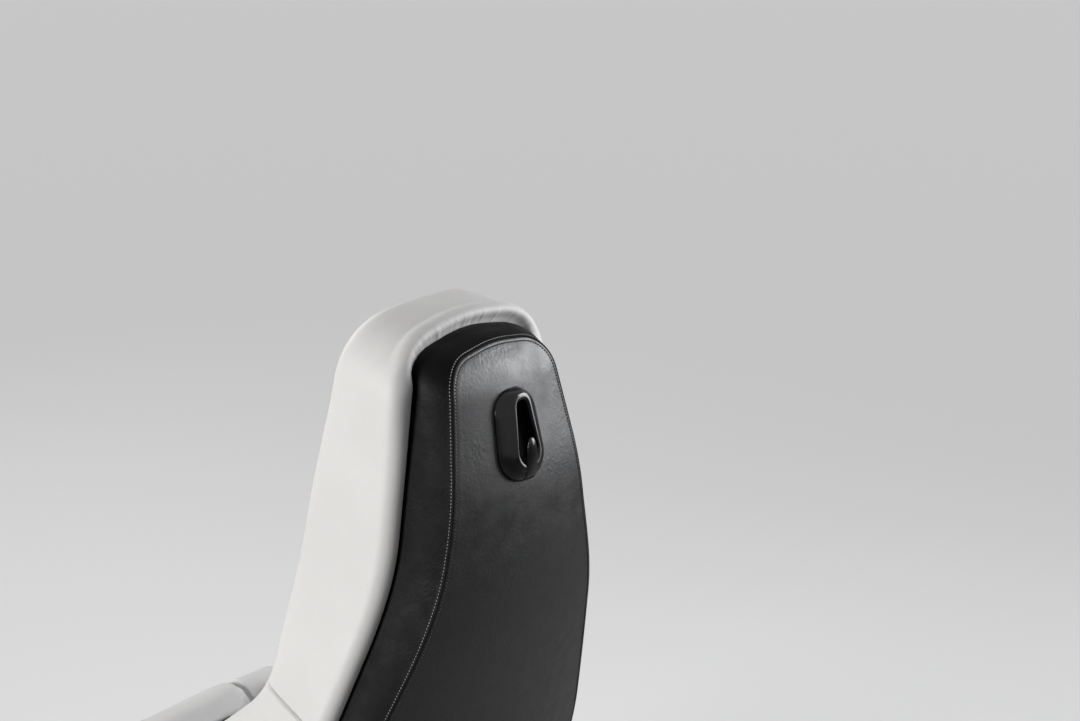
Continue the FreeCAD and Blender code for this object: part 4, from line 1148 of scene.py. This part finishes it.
def mottle_group():
    """Slight unevenness of paint, plating and plastic."""
    group, given, end = look_group("mottle", ("Grain", 400.0), ("Roughness", 0.4), ("Spread", 0.1))
    vector = given["Vector"]
    grain = put(group, "ShaderNodeTexNoise", {"Vector": vector, "Scale": given["Grain"], "Detail": 3.0})
    broad = noise(group, vector, 9.0, 4.0)
    rub = ramped(group, noise(group, vector, 28.0, 5.0, 0.65), 0.42, 0.70)
    tone = maths(group, "ADD", ramped(group, broad, 0.3, 0.7, 0.90, 1.08),
                 maths(group, "MULTIPLY", rub, 0.10))
    change = maths(group, "MULTIPLY", maths(group, "SUBTRACT", rub, 0.5), given["Spread"])
    return show(group, end, given, tone, maths(group, "ADD", given["Roughness"], change), grain.outputs[0])


GROUP_MAKERS = {"leather_grain": leather_group, "creases": crease_group, "mottle": mottle_group}


def grouped(name):
    """The named group, made the first time it is asked for."""
    return bpy.data.node_groups.get(name) or GROUP_MAKERS[name]()


# Columns: group, colour, the group's values, strength and distance of its bump, depth of creases, and values
# of the shader itself.
DARK_LEATHER = (
    "leather_grain", "black", {"Cells": 760.0, "Roughness": 0.44, "Wrinkle": 0.5}, (0.20, 0.00012), 0.0002,
    {"Specular IOR Level": 0.06})
THREAD = (
    {"Grain": 3200.0, "Roughness": 0.55, "Spread": 0.12}, (0.6, 0.00012), 0.0,
    {"Specular IOR Level": 0.35, "Sheen Weight": 0.25})
FINISHES = {
    "pale_leather": (
        "leather_grain", "white", {"Cells": 780.0, "Roughness": 0.50, "Wrinkle": 0.6}, (0.30, 0.00020), 0.0,
        {"Specular IOR Level": 0.42, "Subsurface Weight": 0.04, "Subsurface Scale": 0.004,
         "Sheen Weight": 0.06}),
    "panel_leather": (
        "leather_grain", "black", {"Cells": 820.0, "Roughness": 0.36, "Wrinkle": 0.7}, (0.30, 0.00016),
        0.00022, {"Specular IOR Level": 0.65}),
    "shell_leather": DARK_LEATHER,
    "pad_leather": DARK_LEATHER,
    # The outer thread's light grey is a painted highlight on black thread.
    "sewing_thread_painted_highlight": ("mottle", "thread", *THREAD),
    # Black thread, also painted shade of the stitch holes on the rear panel.
    "dark_thread_and_hole_shade": ("mottle", "thread_in", *THREAD),
    "painted_steel": (
        "mottle", "steel", {"Grain": 900.0, "Roughness": 0.40, "Spread": 0.06}, (0.06, 0.0001), 0.0,
        {"Specular IOR Level": 0.5, "Coat Weight": 0.2, "Coat Roughness": 0.2}),
    "plated_steel_finish": (
        "mottle", "zinc", {"Grain": 1400.0, "Roughness": 0.42, "Spread": 0.06}, (0.05, 0.0001), 0.0,
        {"Metallic": 1.0}),
    "moulded_plastic": (
        "mottle", "plastic", {"Grain": 1500.0, "Roughness": 0.52, "Spread": 0.12}, (0.40, 0.00018), 0.0,
        {"Specular IOR Level": 0.45}),
    # Nearly without reflection: painted shade inside the coat hook's recess.
    "recess_painted_shade": (
        "mottle", "gloss", {"Grain": 900.0, "Roughness": 0.75, "Spread": 0.1}, (0.3, 0.0001), 0.0,
        {"Specular IOR Level": 0.05}),
    "hook_lacquer": (
        "mottle", "gloss", {"Grain": 90.0, "Roughness": 0.20, "Spread": 0.06}, (0.03, 0.0003), 0.0,
        {"Specular IOR Level": 0.5}),
}
CREASE_STRENGTH = 0.6
MADE = {}


def finish(name):
    """The named finish, made the first time it is asked for."""
    if name not in MADE:
        MADE[name] = surface(name, *FINISHES[name])
    return MADE[name]


def surface(name, group, tint, values, bump, creases, others):
    """A material whose Principled BSDF is fed by a group, with creases over its bump where it has them."""
    material = bpy.data.materials.new(name)
    material.use_nodes = True
    tree = material.node_tree
    bsdf = tree.nodes["Principled BSDF"]
    place = put(tree, "ShaderNodeTexCoord").outputs["Object"]
    shade = (*getattr(colours(), tint), 1.0)
    look = put(tree, "ShaderNodeGroup", {"Vector": place, "Colour": shade, **values}, node_tree=grouped(group))
    tree.links.new(look.outputs["Colour"], bsdf.inputs["Base Color"])
    tree.links.new(look.outputs["Roughness"], bsdf.inputs["Roughness"])
    relief = put(tree, "ShaderNodeBump", {
        "Strength": bump[0], "Distance": bump[1], "Height": look.outputs["Height"]})
    if creases:
        folds = put(tree, "ShaderNodeGroup", {"Vector": place}, node_tree=grouped("creases"))
        relief = put(tree, "ShaderNodeBump", {
            "Strength": CREASE_STRENGTH, "Distance": creases, "Height": folds.outputs["Height"],
            "Normal": relief.outputs["Normal"]})
    tree.links.new(relief.outputs["Normal"], bsdf.inputs["Normal"])
    for key, value in others.items():
        bsdf.inputs[key].default_value = value
    return material


# Stage

FLOOR_HALF = 40
FLOOR_TONE = 0.38
FLOOR_GLOW = 0.44
LIGHTS_AIM = Vector((0.0, 0.15, 0.6))
BEAM_ANGLE = math.radians(75)
SUN_ANGLE = math.radians(22)
WORLD_TINT = (0.92, 0.93, 0.95, 1)
WORLD_STRENGTH = 0.14
BACKDROP_STRENGTH = 0.55
CAMERA_PLACE = (1.573, 1.829, 1.691)
CAMERA_LOOK = Vector((-0.716, -0.6235, -0.314))
CAMERA_LENS = 67.44

# Columns: name, place, size of an area light or None for the sun, power, tint.
LIGHTS = (
    ("rear_light", (-2.35, 1.90, 1.50), (1.6, 2.1), 21, (0.97, 0.98, 1.0)),
    ("front_light", (-1.0, -3.2, 2.2), (2.2, 2.2), 12, (1.0, 1.0, 1.0)),
    ("key_light", (3.2, -0.9, 1.1), None, 3.0, (1.0, 0.995, 0.985)))


def placed(name, data, place, direction):
    """An object in the scene that looks along a direction."""
    thing = bpy.data.objects.new(name, data)
    thing.location = place
    thing.rotation_euler = direction.to_track_quat("-Z", "Y").to_euler()
    bpy.context.scene.collection.objects.link(thing)
    return thing


def lay_floor():
    """A pale floor that takes shadows, and glows a little for the camera alone."""
    corners = [(FLOOR_HALF * x, FLOOR_HALF * y, 0) for x, y in ((-1, -1), (1, -1), (1, 1), (-1, 1))]
    floor = make_object("floor", corners, [(0, 1, 2, 3)])
    pale = bpy.data.materials.new("pale_floor")
    pale.use_nodes = True
    tree = pale.node_tree
    shade = tree.nodes["Principled BSDF"]
    for key, value in (("Base Color", (FLOOR_TONE, FLOOR_TONE, FLOOR_TONE, 1)), ("Roughness", 0.8),
                       ("Specular IOR Level", 0.2), ("Emission Color", (1, 1, 1, 1))):
        shade.inputs[key].default_value = value
    seen = put(tree, "ShaderNodeLightPath").outputs["Is Camera Ray"]
    tree.links.new(maths(tree, "MULTIPLY", seen, FLOOR_GLOW), shade.inputs["Emission Strength"])
    floor.data.materials.append(pale)


def hang_lights():
    for name, place, size, power, tint in LIGHTS:
        data = bpy.data.lights.new(name, "AREA" if size else "SUN")
        if size:
            data.shape = "RECTANGLE"
            data.size, data.size_y = size
            data.spread = BEAM_ANGLE
        else:
            data.angle = SUN_ANGLE
        data.energy = power
        data.color = tint
        placed(name, data, place, LIGHTS_AIM - Vector(place)).visible_camera = False


def set_world():
    """A dim sky, with a brighter backdrop for the camera and for what mirrors it."""
    world = bpy.data.worlds.new("studio")
    world.use_nodes = True
    tree = world.node_tree
    dim = tree.nodes["Background"]
    dim.inputs["Color"].default_value = WORLD_TINT
    dim.inputs["Strength"].default_value = WORLD_STRENGTH
    bright = put(tree, "ShaderNodeBackground", {"Color": (1, 1, 1, 1), "Strength": BACKDROP_STRENGTH})
    rays = put(tree, "ShaderNodeLightPath").outputs
    seen = maths(tree, "MAXIMUM", rays["Is Camera Ray"], rays["Is Glossy Ray"])
    seen = maths(tree, "MAXIMUM", seen, rays["Is Transmission Ray"])
    both = put(tree, "ShaderNodeMixShader", {0: seen, 1: dim.outputs[0], 2: bright.outputs[0]})
    tree.links.new(both.outputs[0], tree.nodes["World Output"].inputs["Surface"])
    bpy.context.scene.world = world


def set_camera():
    lens = bpy.data.cameras.new("photo_camera")
    lens.lens = CAMERA_LENS
    lens.sensor_width = 36
    bpy.context.scene.camera = placed("photo_camera", lens, CAMERA_PLACE, CAMERA_LOOK)


# Operators, one for each group of pieces

class SEAT_OT_leather_band(bpy.types.Operator):
    """White leather hood and back bolsters"""
    bl_idname = "seat.leather_band"
    bl_label = "White leather band"

    def execute(self, context):
        wear(hood_piece(), finish("pale_leather"), "back", "white_leather", "hood")
        for side, sign in SIDES:
            wear(bolster_piece(side, sign), finish("pale_leather"), "back", "white_leather",
                 "back_bolster_" + side)
        return {"FINISHED"}


class SEAT_OT_rear_shell(bpy.types.Operator):
    """Black leather shell and rear panel"""
    bl_idname = "seat.rear_shell"
    bl_label = "Shell and rear panel"

    def execute(self, context):
        wear(shell_piece(), finish("shell_leather"), "back", "black_leather", "back_shell")
        wear(panel_piece(), finish("panel_leather"), "back", "black_leather", "rear_panel")
        return {"FINISHED"}


class SEAT_OT_stitching(bpy.types.Operator):
    """Two rows of stitches round the rear panel"""
    bl_idname = "seat.stitching"
    bl_label = "Stitching"

    def execute(self, context):
        tree = stitch_tree()
        on_panel, on_wall = stitch_rows()
        t = context.scene.seat_stitch
        stitched("panel_stitches_inner", on_panel, t.thread_in, tree, finish("dark_thread_and_hole_shade"))
        stitched("panel_stitches_outer", on_wall, t.thread, tree, finish("sewing_thread_painted_highlight"))
        return {"FINISHED"}


class SEAT_OT_coat_hook(bpy.types.Operator):
    """Coat hook on the rear panel"""
    bl_idname = "seat.coat_hook"
    bl_label = "Coat hook"

    def execute(self, context):
        housing = wear(hook_piece(), finish("hook_lacquer"), "back", "gloss_black", "hook_housing")
        # The dull black in the recess is painted shade.
        darken(housing, finish("recess_painted_shade"), in_recess)
        wear(tongue_piece(), finish("hook_lacquer"), "back", "gloss_black", "hook_tongue")
        return {"FINISHED"}


class SEAT_OT_back_pads(bpy.types.Operator):
    """Padded inserts of the backrest and the head"""
    bl_idname = "seat.back_pads"
    bl_label = "Back inserts"

    def execute(self, context):
        for piece, node in ((back_insert_piece(), "back_insert"), (head_insert_piece(), "head_insert")):
            wear(piece, finish("pad_leather"), "back", "black_leather", node)
        return {"FINISHED"}


class SEAT_OT_seat_pads(bpy.types.Operator):
    """Seat cushion, its bolsters and the thigh roll"""
    bl_idname = "seat.seat_pads"
    bl_label = "Seat pads"

    def execute(self, context):
        pads = [(seat_pad_piece(), "pad_leather", "black_leather", "seat_cushion"),
                (thigh_roll_piece(), "pale_leather", "white_leather", "thigh_roll")]
        for side, sign in SIDES:
            pads.append((seat_bolster_piece(side, sign), "pale_leather", "white_leather",
                         "seat_bolster_" + side))
        for piece, look, slot, node in pads:
            wear(piece, finish(look), "seat", slot, node)
        return {"FINISHED"}


class SEAT_OT_frame_finish(bpy.types.Operator):
    """Paint, plating and plastic of the parts that keep their CAD shape"""
    bl_idname = "seat.frame_finish"
    bl_label = "Frame finishes"

    def execute(self, context):
        for node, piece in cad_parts.items():
            if node.startswith(("upper_rail", "recliner", "rear_cross", "spring", "buckle_stalk")):
                look = "plated_steel_finish"
            elif node.startswith(("side_cover", "height_lever", "recline_lever", "buckle")):
                look = "moulded_plastic"
            else:
                look = "painted_steel"
            for slot in piece.material_slots:
                slot.material = finish(look)
        return {"FINISHED"}


class SEAT_OT_stage(bpy.types.Operator):
    """Floor, lights and camera"""
    bl_idname = "seat.stage"
    bl_label = "Stage"

    def execute(self, context):
        lay_floor()
        hang_lights()
        set_world()
        set_camera()
        context.scene.view_settings.view_transform = "Standard"
        return {"FINISHED"}


OPERATORS = (
    SEAT_OT_leather_band, SEAT_OT_rear_shell, SEAT_OT_stitching, SEAT_OT_coat_hook, SEAT_OT_back_pads,
    SEAT_OT_seat_pads, SEAT_OT_frame_finish, SEAT_OT_stage)


class SEAT_PT_panel(bpy.types.Panel):
    """Lists the seat's sizes, colours and steps"""
    bl_idname = "SEAT_PT_panel"
    bl_label = "Bucket seat"
    bl_space_type = "VIEW_3D"
    bl_region_type = "UI"
    bl_category = "Seat"

    def draw(self, context):
        layout = self.layout
        for settings in (context.scene.seat_shape, context.scene.seat_stitch, context.scene.seat_colours):
            box = layout.box()
            for name in settings.bl_rna.properties.keys():
                if name not in ("rna_type", "name"):
                    box.prop(settings, name)
        for operator in OPERATORS:
            layout.operator(operator.bl_idname)


CLASSES = (SeatShape, SeatStitch, SeatColours) + OPERATORS + (SEAT_PT_panel,)


def register():
    for cls in CLASSES:
        bpy.utils.register_class(cls)
    bpy.types.Scene.seat_shape = PointerProperty(type=SeatShape)
    bpy.types.Scene.seat_stitch = PointerProperty(type=SeatStitch)
    bpy.types.Scene.seat_colours = PointerProperty(type=SeatColours)


def unregister():
    del bpy.types.Scene.seat_colours
    del bpy.types.Scene.seat_stitch
    del bpy.types.Scene.seat_shape
    for cls in reversed(CLASSES):
        bpy.utils.unregister_class(cls)


def main():
    register()
    for operator in OPERATORS:
        group, name = operator.bl_idname.split(".")
        getattr(getattr(bpy.ops, group), name)()


if __name__ == "__main__":
    main()
